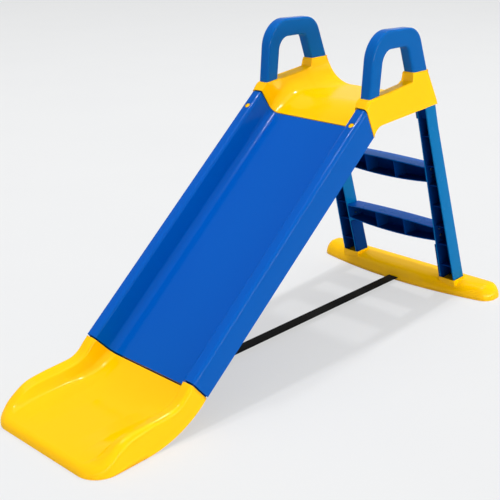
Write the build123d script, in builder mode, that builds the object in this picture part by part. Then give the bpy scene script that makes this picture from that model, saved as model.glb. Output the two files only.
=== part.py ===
import os
from math import cos, radians, sin, tan

from build123d import *

os.makedirs("parts", exist_ok=True)

# Driving dimensions, in millimetres and degrees.
# The slide runs along X, with the exit lip at -X, the ladder at +X and the floor at Z 0.
# Left is -Y, the left hand of a child who sits facing down the chute.

# Mouldings
wall = 3.0
fit_gap = 0.3
pin_gap = 0.05

# Chute, measured along its slope from the lower seam and square to it from the rail edge line
chute_angle = 40.4
chute_length = 756.0
chute_half_width = 182.0
seam_height = 113.4
side_rail_width = 32.0
side_rail_crown = 6.0
side_rail_round = 10.0
chute_floor_depth = 54.0
chute_floor_half_width = 137.0
chute_floor_round = 24.0
side_depth_low = 59.0
side_depth_high = 72.0
upper_seam_tilt = 13.0

# Exit lip
lip_length = 275.0
lip_floor_height = 22.0
lip_front_round = 55.0
lip_foot_length = 134.0
lip_basin_turn = 180.0
lip_basin_half_width = 139.0
lip_basin_lean = 9.0
lip_basin_round = 30.0
lip_rim_knee_run = 42.0
lip_rim_knee_height = 76.0
lip_rim_knee_turn = 60.0
lip_rim_nose_run = 188.0
lip_rim_nose_height = 68.0
lip_rim_nose_turn = 85.0
lip_front_bead = 20.0
lip_front_turn = 22.0
lip_rim_round = 6.0
lip_tongue_length = 46.0
lip_tongue_half_width = 104.0
lip_boss_radius = 5.0
lip_screw_head_radius = 7.0

# Platform, measured from the upper seam's rail edge
platform_length = 302.0
platform_front_half_width = 182.5
platform_rear_half_width = 186.0
platform_draft_half_width = 177.5
platform_draft_drop = 18.0
skirt_rear_drop = 23.8
skirt_front_run = 64.5
skirt_front_drop = 40.3
socket_front_run = 10.5
socket_rear_run = 62.5
socket_rise = 29.7
collar_front_run = 192.5
collar_rear_run = 256.5
collar_rise = 68.7
collar_foot_rise = 46.7
seat_drop = 8.3
seat_turn = 165.0
saddle_half_width = 139.0
saddle_lean = 5.0
saddle_round = 38.0
socket_depth = 45.0
collar_depth = 34.0
arm_length = 72.0
arm_depth = 46.0

# Handles
handle_inner = 146.5
handle_width = 30.0
handle_front_run = 17.5
handle_front_lean = 10.5
handle_front_leg = 41.0
handle_front_leg_top = 45.0
handle_rise = 183.7
handle_hole_rise = 135.7
handle_rear_run = 254.5
handle_rear_leg = 59.5
handle_rear_top_run = 198.5
handle_hole_rear_run = 162.5
handle_front_turn = 72.0
handle_rear_turn = 45.0
handle_hole_front_turn = 35.0
handle_hole_rear_turn = 12.0
handle_edge_round = 8.0
spigot_inset = 5.0
front_spigot = 35.0
rear_spigot = 25.0

# Ladder
ladder_lean = 19.54
pivot_run = 261.0
pivot_rise = 2.7
pivot_forward = 8.5
ladder_depth_foot = 53.4
ladder_depth_top = 47.0
ladder_inner = 146.5
ladder_outer_foot = 198.0
ladder_outer_top = 180.5
ladder_straight_drop = 92.0
ladder_top_drop = 29.5
ladder_rib = 2.5
ladder_rib_setback = 6.0
tang_radius = 18.5
tang_inner = 150.0
tang_outer = 178.0
tang_reach = 22.0
pin_radius = 5.0
lug_radius = 12.5
lug_thickness = 4.0
recess_depth = 4.0
recess_top_drop = 66.0
recess_foot_height = 155.0

# Steps
lower_tread_height = 216.0
upper_tread_height = 402.5
step_height = 48.0
step_bow = 10.0
step_crown = 3.0
step_depth = 58.0
step_rib_half_pitch = 48.0
step_rib = 2.5
step_boss_radius = 6.0
step_boss_length = 14.0
step_screw_half_pitch = 11.0

# Foot bar
bar_half_length = 300.0
bar_half_depth = 58.5
bar_height = 42.0
bar_bow = 40.0
bar_end_round = 30.0
bar_top_round = 27.0
collar_top = 47.0
collar_wall = 4.0
socket_floor_height = 12.0
socket_floor = 4.0
rail_foot_plate = 4.0

# Strap and its clamps
strap_width = 32.0
strap_thickness = 2.0
strap_foot_height = 9.5
strap_lip_height = 19.0
strap_lip_run = 20.0
strap_slot_gap = 2.0
clamp_length = 26.0
clamp_width = 52.0
clamp_thickness = 3.0
clamp_screw_half_pitch = 21.0

# Catch buttons and springs
button_run = 46.0
button_radius = 7.0
button_hole_radius = 7.6
button_flange_radius = 9.0
button_flange = 3.0
button_recess = 1.0
catch_half_spacing = 165.5
spring_wire_radius = 0.7
spring_radius = 5.5
spring_turns = 5

# Screws
screw_radius = 2.0
screw_head_radius = 4.0
screw_head = 2.5
screw_bite = 9.0

# Layout along the slope, worked out from the lower seam
slope = (cos(radians(chute_angle)), sin(radians(chute_angle)))
lean = tan(radians(ladder_lean))
upper_seam_height = seam_height + chute_length * slope[1]
pivot_height = upper_seam_height + pivot_rise
foot_from_seam = chute_length * slope[0] + pivot_run + pivot_forward + pivot_height * lean
overall_length = lip_length + foot_from_seam + bar_half_depth
lower_seam_x = lip_length - overall_length / 2
upper_seam_x = lower_seam_x + chute_length * slope[0]
pivot_x = upper_seam_x + pivot_run
bar_x = lower_seam_x + foot_from_seam
front_x = -overall_length / 2

along = Vector(slope[0], 0, slope[1])
square = Vector(-slope[1], 0, slope[0])
lower_seam = Vector(lower_seam_x, 0, seam_height)
upper_seam = Vector(upper_seam_x, 0, upper_seam_height)
seam_across = square * cos(radians(upper_seam_tilt)) + along * sin(radians(upper_seam_tilt))
seam_normal = along * cos(radians(upper_seam_tilt)) - square * sin(radians(upper_seam_tilt))
lower_section = Plane(origin=lower_seam, x_dir=(0, 1, 0), z_dir=along)
sides = {"left": -1, "right": 1}


def xz(point):
    """The X and Z of a point, for sketches on the side plane."""
    return (point.X, point.Z)


def side_slab(y_one, y_two):
    """The side plane that a slab between two Y values is drawn on, and the slab's thickness."""
    return Plane.XZ.offset(-max(y_one, y_two)), abs(y_one - y_two)


def rail_centre(height):
    """X of the ladder rails' centre line at a height."""
    return bar_x - height * lean


def rail_depth(height):
    """Depth of the ladder rails along X at a height."""
    share = height / pivot_height
    return ladder_depth_foot + (ladder_depth_top - ladder_depth_foot) * share


straight_height = pivot_height - ladder_straight_drop
rail_top = pivot_height - ladder_top_drop
rail_bottom = socket_floor_height + socket_floor


def rail_outer(height):
    """Outer face of the ladder rails at a height: they spread towards the floor."""
    share = min(max((straight_height - height) / straight_height, 0), 1)
    return ladder_outer_top + (ladder_outer_foot - ladder_outer_top) * share


# The lip's tongue lies under the chute's floor, a fit gap below its skin.
# Two short bosses of the chute pass through it, and a wide screw head on each holds it up.
tongue_top = -chute_floor_depth - wall - fit_gap
tongue_middle = lower_seam + along * (lip_tongue_length / 2) + square * tongue_top
tongue_plane = Plane(origin=tongue_middle, x_dir=(0, 1, 0), z_dir=square)
tongue_underside = tongue_plane.offset(-wall)
lip_screw_spots = ((-lip_tongue_half_width / 2, 0), (lip_tongue_half_width / 2, 0))
lip_boss_length = wall + fit_gap
lip_bite = lip_boss_length + wall / 2

# Chute: one thin skin folded over two side rails, straight along the slope.
# Its sides are deeper at the top, and its upper end is cut to the platform's seam.
chute_overrun = side_rail_crown * tan(radians(upper_seam_tilt)) + wall
rail_inner_edge = chute_half_width - side_rail_width
with BuildPart() as chute:
    with BuildSketch(lower_section):
        with BuildLine():
            FilletPolyline(
                (-chute_half_width, -side_depth_high),
                (-chute_half_width, side_rail_crown),
                (-rail_inner_edge, side_rail_crown),
                (-chute_floor_half_width, -chute_floor_depth),
                (chute_floor_half_width, -chute_floor_depth),
                (rail_inner_edge, side_rail_crown),
                (chute_half_width, side_rail_crown),
                (chute_half_width, -side_depth_high),
                radius=[
                    side_rail_round,
                    side_rail_round,
                    chute_floor_round,
                    chute_floor_round,
                    side_rail_round,
                    side_rail_round,
                ],
            )
            offset(amount=wall, side=Side.RIGHT)
        make_face()
    extrude(amount=chute_length + chute_overrun)
    split(bisect_by=Plane(origin=upper_seam, z_dir=seam_normal), keep=Keep.BOTTOM)
    side_edge = along * chute_length - square * (side_depth_high - side_depth_low)
    side_edge_start = lower_seam - square * side_depth_low
    side_edge_up = Vector(0, -1, 0).cross(side_edge)
    split(bisect_by=Plane(origin=side_edge_start, z_dir=side_edge_up), keep=Keep.TOP)
    button_point = lower_seam + along * (chute_length - button_run) + square * side_rail_crown
    button_plane = Plane(origin=button_point, x_dir=along, z_dir=square)
    with BuildSketch(button_plane):
        with Locations((0, -catch_half_spacing), (0, catch_half_spacing)):
            Circle(button_hole_radius)
    extrude(amount=-side_rail_crown - wall, mode=Mode.SUBTRACT)
    with BuildSketch(tongue_underside):
        with Locations(*lip_screw_spots):
            Circle(lip_boss_radius)
    extrude(amount=lip_boss_length + wall / 2)
    with BuildSketch(tongue_underside):
        with Locations(*lip_screw_spots):
            Circle(screw_radius + pin_gap)
    extrude(amount=lip_bite + pin_gap, mode=Mode.SUBTRACT)

# Exit lip: a tray that turns the slope level, with side rims that sink to a low front bead.
# It is hollow, closed under the slope and open under the level floor.
lip_seam_top = lower_seam + square * side_rail_crown
lip_seam_foot = lower_seam - square * side_depth_low
lip_foot_end = front_x + lip_foot_length
with BuildSketch(Plane.XZ) as lip_side:
    with BuildLine():
        FilletPolyline(
            xz(lip_seam_top),
            (lower_seam_x - lip_rim_knee_run, lip_rim_knee_height),
            (lower_seam_x - lip_rim_nose_run, lip_rim_nose_height),
            (front_x + lip_front_bead, lip_floor_height),
            (front_x, lip_floor_height),
            radius=[lip_rim_knee_turn, lip_rim_nose_turn, lip_front_turn],
        )
        Polyline((front_x, lip_floor_height), (front_x, 0), (lip_foot_end, 0))
        TangentArc((lip_foot_end, 0), xz(lip_seam_foot), tangent=(1, 0))
        Line(xz(lip_seam_foot), xz(lip_seam_top))
    make_face()


def lip_plan(inset):
    """Plan of the lip with rounded front corners, drawn inside the edge by an inset."""
    length = lip_length + side_depth_low
    with BuildSketch(Plane.XY) as plan:
        with Locations((front_x + inset + length / 2, 0)):
            Rectangle(length, 2 * (chute_half_width - inset))
        fillet(plan.vertices().group_by(Axis.X)[0], lip_front_round - inset)
    return plan.sketch


lip_ceiling = seam_height + side_depth_low
upright = 0.01
basin_start = lower_seam - square * chute_floor_depth + along * wall
basin_drop = basin_start.Z - lip_floor_height
basin_corner = Vector(basin_start.X - basin_drop / slope[1] * slope[0], 0, lip_floor_height)
basin_end = Vector(front_x - lip_front_round, 0, lip_floor_height)


def trough(path_points, turn, half_width, lean_out, corner, depth, below):
    """A trough's inside swept down a turned path; below lowers its floor and widens its walls."""
    with BuildPart() as space:
        with BuildLine() as path:
            FilletPolyline(*path_points, radius=[turn])
        run = path_points[1] - path_points[0]
        with BuildSketch(Plane(origin=path_points[0], x_dir=(0, 1, 0), z_dir=run)) as section:
            up = 1 if Vector(section.workplanes[0].y_dir).Z > 0 else -1
            with BuildLine():
                FilletPolyline(
                    (-half_width - lean_out - below, up * depth),
                    (-half_width - below, -up * below),
                    (half_width + below, -up * below),
                    (half_width + lean_out + below, up * depth),
                    radius=[0, corner + below, corner + below, 0],
                    close=True,
                )
            make_face()
        sweep(path=path.wire())
    return space.part


lip_depth = chute_floor_depth + side_depth_low
lip_trough_sizes = (lip_basin_turn, lip_basin_half_width, lip_basin_lean, lip_basin_round, lip_depth)
lip_path = (basin_start, basin_corner, basin_end)
with BuildPart() as lip_hollow:
    with BuildSketch(Plane.XZ):
        add(lip_side.sketch)
        offset(amount=-wall, kind=Kind.INTERSECTION, mode=Mode.REPLACE)
        with Locations(((front_x + lip_foot_end) / 2, 0)):
            Rectangle(lip_foot_length - 2 * wall, 4 * wall)
    extrude(amount=chute_half_width - wall, both=True)
    extrude(lip_plan(wall), amount=lip_ceiling, both=True, mode=Mode.INTERSECT)
    add(trough(lip_path, *lip_trough_sizes, wall), mode=Mode.SUBTRACT)

# The strap runs straight from the foot bar to the underside of the lip.
strap_foot = Vector(bar_x, 0, strap_foot_height)
strap_lip = Vector(lower_seam_x - strap_lip_run, 0, strap_lip_height)
strap_line = strap_foot - strap_lip
strap_up = strap_line.cross(Vector(0, 1, 0))
foot_clamp_plane = Plane(origin=strap_foot, x_dir=strap_line, z_dir=strap_up)
lip_clamp_plane = Plane(origin=strap_lip, x_dir=strap_line, z_dir=strap_up)
clamp_screws = ((0, -clamp_screw_half_pitch), (0, clamp_screw_half_pitch))
clamp_space = strap_thickness / 2
clamp_planes = {"foot": foot_clamp_plane, "lip": lip_clamp_plane}

with BuildPart() as exit_lip:
    extrude(lip_side.sketch, amount=chute_half_width, both=True)
    extrude(lip_plan(0), amount=lip_ceiling, both=True, mode=Mode.INTERSECT)
    lip_faces = exit_lip.faces().filter_by(lambda face: face.center().X < lower_seam_x)
    lip_walls = lip_faces.filter_by(lambda face: abs(face.normal_at().Z) < upright)
    lip_tops = lip_faces.filter_by(lambda face: face.normal_at().Z > upright)
    fillet(lip_walls.edges() & lip_tops.edges(), lip_rim_round)
    add(trough(lip_path, *lip_trough_sizes, 0), mode=Mode.SUBTRACT)
    add(lip_hollow.part, mode=Mode.SUBTRACT)
    with BuildSketch(tongue_plane):
        Rectangle(2 * lip_tongue_half_width, lip_tongue_length + 2 * wall)
    extrude(amount=-wall)
    with BuildSketch(tongue_plane):
        with Locations(*lip_screw_spots):
            Circle(lip_boss_radius + fit_gap)
    extrude(amount=-wall, mode=Mode.SUBTRACT)
    with BuildSketch(lip_clamp_plane.offset(clamp_space)):
        Rectangle(clamp_length, clamp_width)
    extrude(until=Until.NEXT)
    with BuildSketch(lip_clamp_plane.offset(clamp_space)):
        with Locations(*clamp_screws):
            Circle(screw_radius + pin_gap)
    extrude(amount=screw_bite, mode=Mode.SUBTRACT)

# Platform: a saddle seat between two hollow side walls, with sockets for the handles.
# Its skirts hang outside the ladder rails, and two arms reach under the chute's rails.
seam_foot = upper_seam - seam_across * (side_depth_high / cos(radians(upper_seam_tilt)))
seam_top = upper_seam + seam_across * (side_rail_crown / cos(radians(upper_seam_tilt)))
platform_rear = (upper_seam_x + platform_length, upper_seam_height - skirt_rear_drop)
skirt_front = (upper_seam_x + skirt_front_run, upper_seam_height - skirt_front_drop)
socket_front = (upper_seam_x + socket_front_run, upper_seam_height + socket_rise)
socket_rear = (upper_seam_x + socket_rear_run, upper_seam_height + socket_rise)
collar_foot = (upper_seam_x + collar_front_run, upper_seam_height + collar_foot_rise)
collar_front = (upper_seam_x + collar_front_run, upper_seam_height + collar_rise)
collar_rear = (upper_seam_x + collar_rear_run, upper_seam_height + collar_rise)
seat_height = upper_seam_height - seat_drop
with BuildSketch(Plane.XZ) as platform_side:
    with BuildLine():
        Polyline(
            xz(seam_foot),
            xz(seam_top),
            socket_front,
            socket_rear,
            collar_foot,
            collar_front,
            collar_rear,
            platform_rear,
            skirt_front,
        )
        TangentArc(skirt_front, xz(seam_foot), tangent=(skirt_front[0] - platform_rear[0],
                                                        skirt_front[1] - platform_rear[1]))
    make_face()

platform_floor = upper_seam_height - side_depth_high
platform_reach = collar_rise + side_depth_high


def platform_plan(inset):
    """Plan of the platform: slightly wider at the ladder than at the chute."""
    front = platform_front_half_width - inset
    rear = platform_rear_half_width - inset
    start = upper_seam_x - side_rail_crown
    end = platform_rear[0]
    with BuildSketch(Plane.XY.offset(platform_floor)) as plan:
        with BuildLine():
            Polyline((start, -front), (end, -rear), (end, rear), (start, front), close=True)
        make_face()
    return plan.sketch


def platform_front_view(inset):
    """Front view of the platform: upright skirts that lean in towards the handles."""
    skirt = platform_rear_half_width - inset
    top = platform_draft_half_width - inset
    turn = upper_seam_height - platform_draft_drop
    with BuildSketch(Plane.YZ.offset(upper_seam_x - side_depth_high)) as view:
        with BuildLine():
            Polyline(
                (-skirt, platform_floor),
                (-skirt, turn),
                (-top, collar_rear[1]),
                (top, collar_rear[1]),
                (skirt, turn),
                (skirt, platform_floor),
                close=True,
            )
        make_face()
    return view.sketch


saddle_start = upper_seam - square * chute_floor_depth - along * side_depth_high
saddle_rise = (seat_height - saddle_start.Z) / slope[1]
saddle_corner = saddle_start + along * saddle_rise
saddle_end = Vector(platform_rear[0] + wall, 0, seat_height)
saddle_path = (saddle_start, saddle_corner, saddle_end)
saddle_sizes = (seat_turn, saddle_half_width, saddle_lean, saddle_round, platform_reach)
view_length = platform_length + 2 * side_depth_high

with BuildPart() as platform_hollow:
    with BuildSketch(Plane.XZ):
        add(platform_side.sketch)
        offset(amount=-wall, kind=Kind.INTERSECTION, mode=Mode.REPLACE)
        with BuildLine():
            Polyline(
                (skirt_front[0], skirt_front[1] - 2 * wall),
                (skirt_front[0], skirt_front[1] + 2 * wall),
                (platform_rear[0] - 2 * wall, platform_rear[1] + 2 * wall),
                (platform_rear[0] - 2 * wall, platform_rear[1] - 2 * wall),
                close=True,
            )
        make_face()
    extrude(amount=platform_rear_half_width, both=True)
    extrude(platform_plan(wall), amount=platform_reach, mode=Mode.INTERSECT)
    extrude(platform_front_view(wall), amount=view_length, mode=Mode.INTERSECT)
    add(trough(saddle_path, *saddle_sizes, wall), mode=Mode.SUBTRACT)
    socket_bottom = socket_front[1] - socket_depth
    with BuildSketch(Plane.XZ):
        with Locations(((socket_front[0] + socket_rear[0]) / 2, socket_front[1] - socket_depth / 2)):
            Rectangle(socket_rear[0] - socket_front[0] + 2 * wall, socket_depth)
        with Locations((collar_rear[0], collar_rear[1] - collar_depth / 2)):
            Rectangle(2 * (collar_rear[0] - collar_front[0]), collar_depth)
    extrude(amount=platform_rear_half_width, both=True, mode=Mode.SUBTRACT)

# Handle outlines: an upright front leg, a leaning rear leg and a rounded top.
handle_front = upper_seam_x + handle_front_run
handle_rear = upper_seam_x + handle_rear_run
handle_base = socket_front[1]
handle_shoulder = collar_rear[1]
handle_top = upper_seam_height + handle_rise
handle_hole_top = upper_seam_height + handle_hole_rise
rear_top = upper_seam_x + handle_rear_top_run
hole_rear_top = upper_seam_x + handle_hole_rear_run
rear_lean = (handle_rear - rear_top) / (handle_top - handle_shoulder)
front_leg_foot = (handle_front, handle_front + handle_front_leg)
front_leg_head = (handle_front + handle_front_lean,
                  handle_front + handle_front_lean + handle_front_leg_top - handle_front_lean / 2)
rear_leg_foot = (handle_rear - handle_rear_leg, handle_rear)
front_spigot_foot = handle_base - front_spigot
rear_spigot_foot = handle_shoulder - rear_spigot
rear_spigot_shift = rear_spigot * rear_lean


def spigots(plane, grow):
    """The handle's two square spigots on a side plane, grown by a clearance."""
    inset = spigot_inset - grow
    with BuildSketch(plane) as outline:
        with BuildLine():
            Polyline(
                (front_leg_foot[0] + inset, handle_base),
                (front_leg_foot[1] - inset, handle_base),
                (front_leg_foot[1] - inset, front_spigot_foot - grow),
                (front_leg_foot[0] + inset, front_spigot_foot - grow),
                close=True,
            )
        make_face()
        with BuildLine():
            Polyline(
                (rear_leg_foot[0] + inset, handle_shoulder),
                (rear_leg_foot[1] - inset, handle_shoulder),
                (rear_leg_foot[1] - inset + rear_spigot_shift, rear_spigot_foot - grow),
                (rear_leg_foot[0] + inset + rear_spigot_shift, rear_spigot_foot - grow),
                close=True,
            )
        make_face()
    return outline.sketch


front_screw_x = sum(front_leg_foot) / 2
rear_screw_x = sum(rear_leg_foot) / 2 + rear_spigot_shift
handle_middle = handle_inner + handle_width / 2
collar_bottom = collar_rear[1] - collar_depth
front_screw_bite = socket_depth - front_spigot + screw_bite
rear_screw_bite = collar_depth - rear_spigot + screw_bite
handle_screw_spots = (
    (front_screw_x, socket_bottom, front_screw_bite),
    (rear_screw_x, collar_bottom, rear_screw_bite),
)

# Catch arms: blocks under the chute's rails that guide the buttons on their springs.
arm_inner = rail_inner_edge + wall + fit_gap
arm_outer = chute_half_width - wall - fit_gap
arm_top = side_rail_crown - wall - fit_gap
button_top = side_rail_crown - button_recess
flange_top = arm_top - 2 * fit_gap
bore_floor = arm_top - arm_depth + wall
arm_start = lower_seam + along * (chute_length - arm_length)
arm_section = Plane(origin=arm_start, x_dir=(0, 1, 0), z_dir=along)
bore_plane = Plane(origin=button_point - square * side_rail_crown, x_dir=along, z_dir=square)
pivot = Vector(pivot_x, 0, pivot_height)
boss_face = tang_outer + fit_gap
boss_end = boss_face + lug_thickness
lug_face = tang_inner - fit_gap
lug_end = lug_face - lug_thickness
pin_end = boss_end - wall / 2

with BuildPart() as platform:
    extrude(platform_side.sketch, amount=platform_rear_half_width, both=True)
    extrude(platform_plan(0), amount=platform_reach, mode=Mode.INTERSECT)
    extrude(platform_front_view(0), amount=view_length, mode=Mode.INTERSECT)
    add(trough(saddle_path, *saddle_sizes, 0), mode=Mode.SUBTRACT)
    add(platform_hollow.part, mode=Mode.SUBTRACT)
    for y in sides.values():
        with BuildSketch(arm_section):
            with Locations((y * (arm_inner + arm_outer) / 2, arm_top - arm_depth / 2)):
                RectangleRounded(arm_outer - arm_inner, arm_depth, side_rail_round)
        extrude(amount=arm_length)
        with BuildSketch(bore_plane.offset(bore_floor)):
            with Locations((0, y * catch_half_spacing)):
                Circle(button_flange_radius + pin_gap)
        extrude(amount=arm_depth, mode=Mode.SUBTRACT)
        plane, thickness = side_slab(y * boss_face, y * boss_end)
        with BuildSketch(plane):
            with Locations(xz(pivot)):
                Circle(lug_radius)
        extrude(amount=thickness)
        plane, thickness = side_slab(y * lug_face, y * lug_end)
        with BuildSketch(plane):
            with Locations(xz(pivot)):
                Circle(lug_radius)
            with Locations((pivot_x - lug_radius / 2, collar_bottom)):
                Circle(lug_radius / 2)
            make_hull()
        extrude(amount=thickness)
        plane, thickness = side_slab(y * lug_end, y * pin_end)
        with BuildSketch(plane):
            with Locations(xz(pivot)):
                Circle(pin_radius + pin_gap)
        extrude(amount=thickness, mode=Mode.SUBTRACT)
        plane, thickness = side_slab(y * (handle_inner + spigot_inset - fit_gap),
                                     y * (handle_inner + handle_width - spigot_inset + fit_gap))
        extrude(spigots(plane, fit_gap), amount=thickness, mode=Mode.SUBTRACT)
        for x, seat, bite in handle_screw_spots:
            with BuildSketch(Plane.XY.offset(seat)):
                with Locations((x, y * handle_middle)):
                    Circle(screw_radius + pin_gap)
            extrude(amount=bite - screw_bite, mode=Mode.SUBTRACT)


# Handles: solid mouldings with rounded edges, each on two spigots.
def handle_outline(plane):
    """The inverted U of a handle, on a side plane."""
    with BuildSketch(plane) as outline:
        with BuildLine():
            FilletPolyline(
                (front_leg_foot[0], handle_base),
                (front_leg_head[0], handle_top),
                (rear_top, handle_top),
                (rear_leg_foot[1], handle_shoulder),
                (rear_leg_foot[0], handle_shoulder),
                (hole_rear_top, handle_hole_top),
                (front_leg_head[1], handle_hole_top),
                (front_leg_foot[1], handle_base),
                radius=[
                    0,
                    handle_front_turn,
                    handle_rear_turn,
                    0,
                    0,
                    handle_hole_rear_turn,
                    handle_hole_front_turn,
                    0,
                ],
                close=True,
            )
        make_face()
    return outline.sketch


handles = {}
for name, y in sides.items():
    near = y * handle_inner
    far = y * (handle_inner + handle_width)
    with BuildPart() as handle:
        plane, thickness = side_slab(near, far)
        extrude(handle_outline(plane), amount=thickness)
        rims = handle.faces().filter_by(Axis.Y).edges()
        rims = rims.filter_by(lambda edge: edge.center().Z > handle_base + handle_edge_round)
        fillet(rims, handle_edge_round)
        plane, thickness = side_slab(near + y * spigot_inset, far - y * spigot_inset)
        extrude(spigots(plane, 0), amount=thickness)
        for x, seat, bite in handle_screw_spots:
            with BuildSketch(Plane.XY.offset(seat)):
                with Locations((x, y * handle_middle)):
                    Circle(screw_radius + pin_gap)
            extrude(amount=bite + pin_gap, mode=Mode.SUBTRACT)
    handles[name] = handle.part

# Hinge pins: plain pins through the rail tangs, blind in the skirts so that nothing shows outside.
hinge_pins = {}
for name, y in sides.items():
    plane, thickness = side_slab(y * lug_end, y * (pin_end - fit_gap))
    with BuildPart() as hinge_pin:
        with BuildSketch(plane):
            with Locations(xz(pivot)):
                Circle(pin_radius)
        extrude(amount=thickness)
    hinge_pins[name] = hinge_pin.part

# Ladder rails: U-channels open to the front, stiffened by cross ribs.
# Each stands in a collar of the foot bar and ends above in a tang on its hinge pin.
step_foot = step_height + step_bow
channel_inner = ladder_inner + recess_depth + wall
rib_heights = (
    (rail_bottom + lower_tread_height - step_foot) / 2,
    lower_tread_height - step_foot,
    lower_tread_height,
    (lower_tread_height + upper_tread_height - step_foot) / 2,
    upper_tread_height - step_foot,
    upper_tread_height,
    (upper_tread_height + rail_top) / 2,
)
recess_top = pivot_height - recess_top_drop
tang_foot = rail_top - tang_reach
foot_screw_x = rail_centre(rail_bottom)
foot_screw_y = (channel_inner + rail_outer(rail_bottom) - wall) / 2
step_ends = ladder_inner + recess_depth
treads = {"lower": lower_tread_height, "upper": upper_tread_height}


def step_screw_spots(tread):
    """X and Z of the two screws in each end of a step, on the rails' centre line."""
    middle = tread - step_height / 2
    heights = (middle - step_screw_half_pitch, middle + step_screw_half_pitch)
    return [(rail_centre(height), height) for height in heights]


def rail_sections(side, heights, inner, outer_inset, front_reach, rear_inset):
    """Level rectangles of a ladder rail, one at each height, to be lofted."""
    sections = []
    for height in heights:
        front = rail_centre(height) - rail_depth(height) / 2 - front_reach
        rear = rail_centre(height) + rail_depth(height) / 2 - rear_inset
        outer = rail_outer(height) - outer_inset
        with BuildSketch(Plane.XY.offset(height)) as section:
            with Locations(((front + rear) / 2, side * (inner + outer) / 2)):
                Rectangle(rear - front, outer - inner)
        sections.append(section.sketch)
    return sections


ladder_rails = {}
for name, y in sides.items():
    with BuildPart() as channel:
        heights = (rail_bottom + rail_foot_plate, straight_height, rail_top - wall)
        loft(rail_sections(y, heights, channel_inner, wall, wall, wall), ruled=True)
        for height in rib_heights:
            with BuildSketch(Plane.XY.offset(height)):
                with Locations((rail_centre(height) + ladder_rib_setback, 0)):
                    Rectangle(rail_depth(height), 2 * ladder_outer_foot)
            extrude(amount=ladder_rib, mode=Mode.SUBTRACT)
    with BuildPart() as ladder_rail:
        heights = (rail_bottom, straight_height, rail_top)
        loft(rail_sections(y, heights, ladder_inner, 0, 0, 0), ruled=True)
        add(channel.part, mode=Mode.SUBTRACT)
        plane, thickness = side_slab(y * ladder_inner, y * step_ends)
        with BuildSketch(plane):
            with Locations((rail_centre(recess_top), (recess_foot_height + recess_top) / 2)):
                Rectangle(overall_length, recess_top - recess_foot_height)
        extrude(amount=thickness, mode=Mode.SUBTRACT)
        plane, thickness = side_slab(y * tang_inner, y * tang_outer)
        with BuildSketch(plane):
            with Locations(xz(pivot)):
                Circle(tang_radius)
            with Locations((rail_centre(tang_foot), tang_foot)):
                Circle(tang_radius - wall)
            make_hull()
            with Locations(xz(pivot)):
                Circle(pin_radius + pin_gap, mode=Mode.SUBTRACT)
        extrude(amount=thickness)
        plane, thickness = side_slab(y * step_ends, y * channel_inner)
        for tread in treads.values():
            with BuildSketch(plane):
                with Locations(*step_screw_spots(tread)):
                    Circle(screw_radius + pin_gap)
            extrude(amount=thickness, mode=Mode.SUBTRACT)
        with BuildSketch(Plane.XY.offset(rail_bottom)):
            with Locations((foot_screw_x, y * foot_screw_y)):
                Circle(screw_radius + pin_gap)
        extrude(amount=rail_foot_plate, mode=Mode.SUBTRACT)
    ladder_rails[name] = ladder_rail.part


def step_front_view(tread, inset):
    """Front view of a step: a crowned top and a bowed lower edge, drawn inside its edge by an inset."""
    end = step_ends - inset
    top = tread - inset
    foot = tread - step_height + inset
    with BuildSketch(Plane.YZ) as view:
        with BuildLine():
            ThreePointArc((-end, top - step_crown), (0, top), (end, top - step_crown))
            Line((end, top - step_crown), (end, foot))
            ThreePointArc((end, foot), (0, foot - step_bow), (-end, foot))
            Line((-end, foot), (-end, top - step_crown))
        make_face()
    return view.sketch


# Steps: treads that lean with the rails, open to the front between two ribs.
steps = {}
for name, tread in treads.items():
    lowest = tread - step_foot
    front_top = rail_centre(tread) - rail_depth(tread) / 2
    front_low = rail_centre(lowest) - rail_depth(lowest) / 2
    with BuildPart() as step_space:
        extrude(step_front_view(tread, wall), amount=overall_length)
        with BuildSketch(Plane.XZ):
            with BuildLine():
                Polyline(
                    (front_top - wall, tread),
                    (front_top + step_depth - wall, tread),
                    (front_low + step_depth - wall, lowest),
                    (front_low - wall, lowest),
                    close=True,
                )
            make_face()
        extrude(amount=step_ends, both=True, mode=Mode.INTERSECT)
        for rib_y in (-step_rib_half_pitch, step_rib_half_pitch):
            with BuildSketch(Plane.XZ.offset(rib_y - step_rib / 2)):
                with Locations((front_low, tread)):
                    Rectangle(4 * step_depth, 2 * step_foot)
            extrude(amount=step_rib, mode=Mode.SUBTRACT)
        for y in sides.values():
            plane, thickness = side_slab(y * step_ends, y * (step_ends - step_boss_length))
            with BuildSketch(plane):
                with Locations(*step_screw_spots(tread)):
                    Circle(step_boss_radius)
            extrude(amount=thickness, mode=Mode.SUBTRACT)
    with BuildPart() as step:
        extrude(step_front_view(tread, 0), amount=overall_length)
        with BuildSketch(Plane.XZ):
            with BuildLine():
                Polyline(
                    (front_top, tread),
                    (front_top + step_depth, tread),
                    (front_low + step_depth, lowest),
                    (front_low, lowest),
                    close=True,
                )
            make_face()
        extrude(amount=step_ends, both=True, mode=Mode.INTERSECT)
        add(step_space.part, mode=Mode.SUBTRACT)
        for y in sides.values():
            plane, thickness = side_slab(y * step_ends, y * (step_ends - screw_bite))
            with BuildSketch(plane):
                with Locations(*step_screw_spots(tread)):
                    Circle(screw_radius + pin_gap)
            extrude(amount=thickness, mode=Mode.SUBTRACT)
    steps[name] = step.part


# Foot bar: a domed hollow bar with a bowed front edge, and a raised collar round each rail's foot.
def bar_plan(inset):
    """Plan of the foot bar with rounded corners, drawn inside its edge by an inset."""
    front = bar_x - bar_half_depth + inset
    rear = bar_x + bar_half_depth - inset
    end = bar_half_length - inset
    with BuildSketch(Plane.XY) as plan:
        with BuildLine():
            ThreePointArc((front + bar_bow, -end), (front, 0), (front + bar_bow, end))
            Polyline((front + bar_bow, end), (rear, end), (rear, -end), (front + bar_bow, -end))
        make_face()
        fillet(plan.vertices(), bar_end_round - inset)
    return plan.sketch


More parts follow.
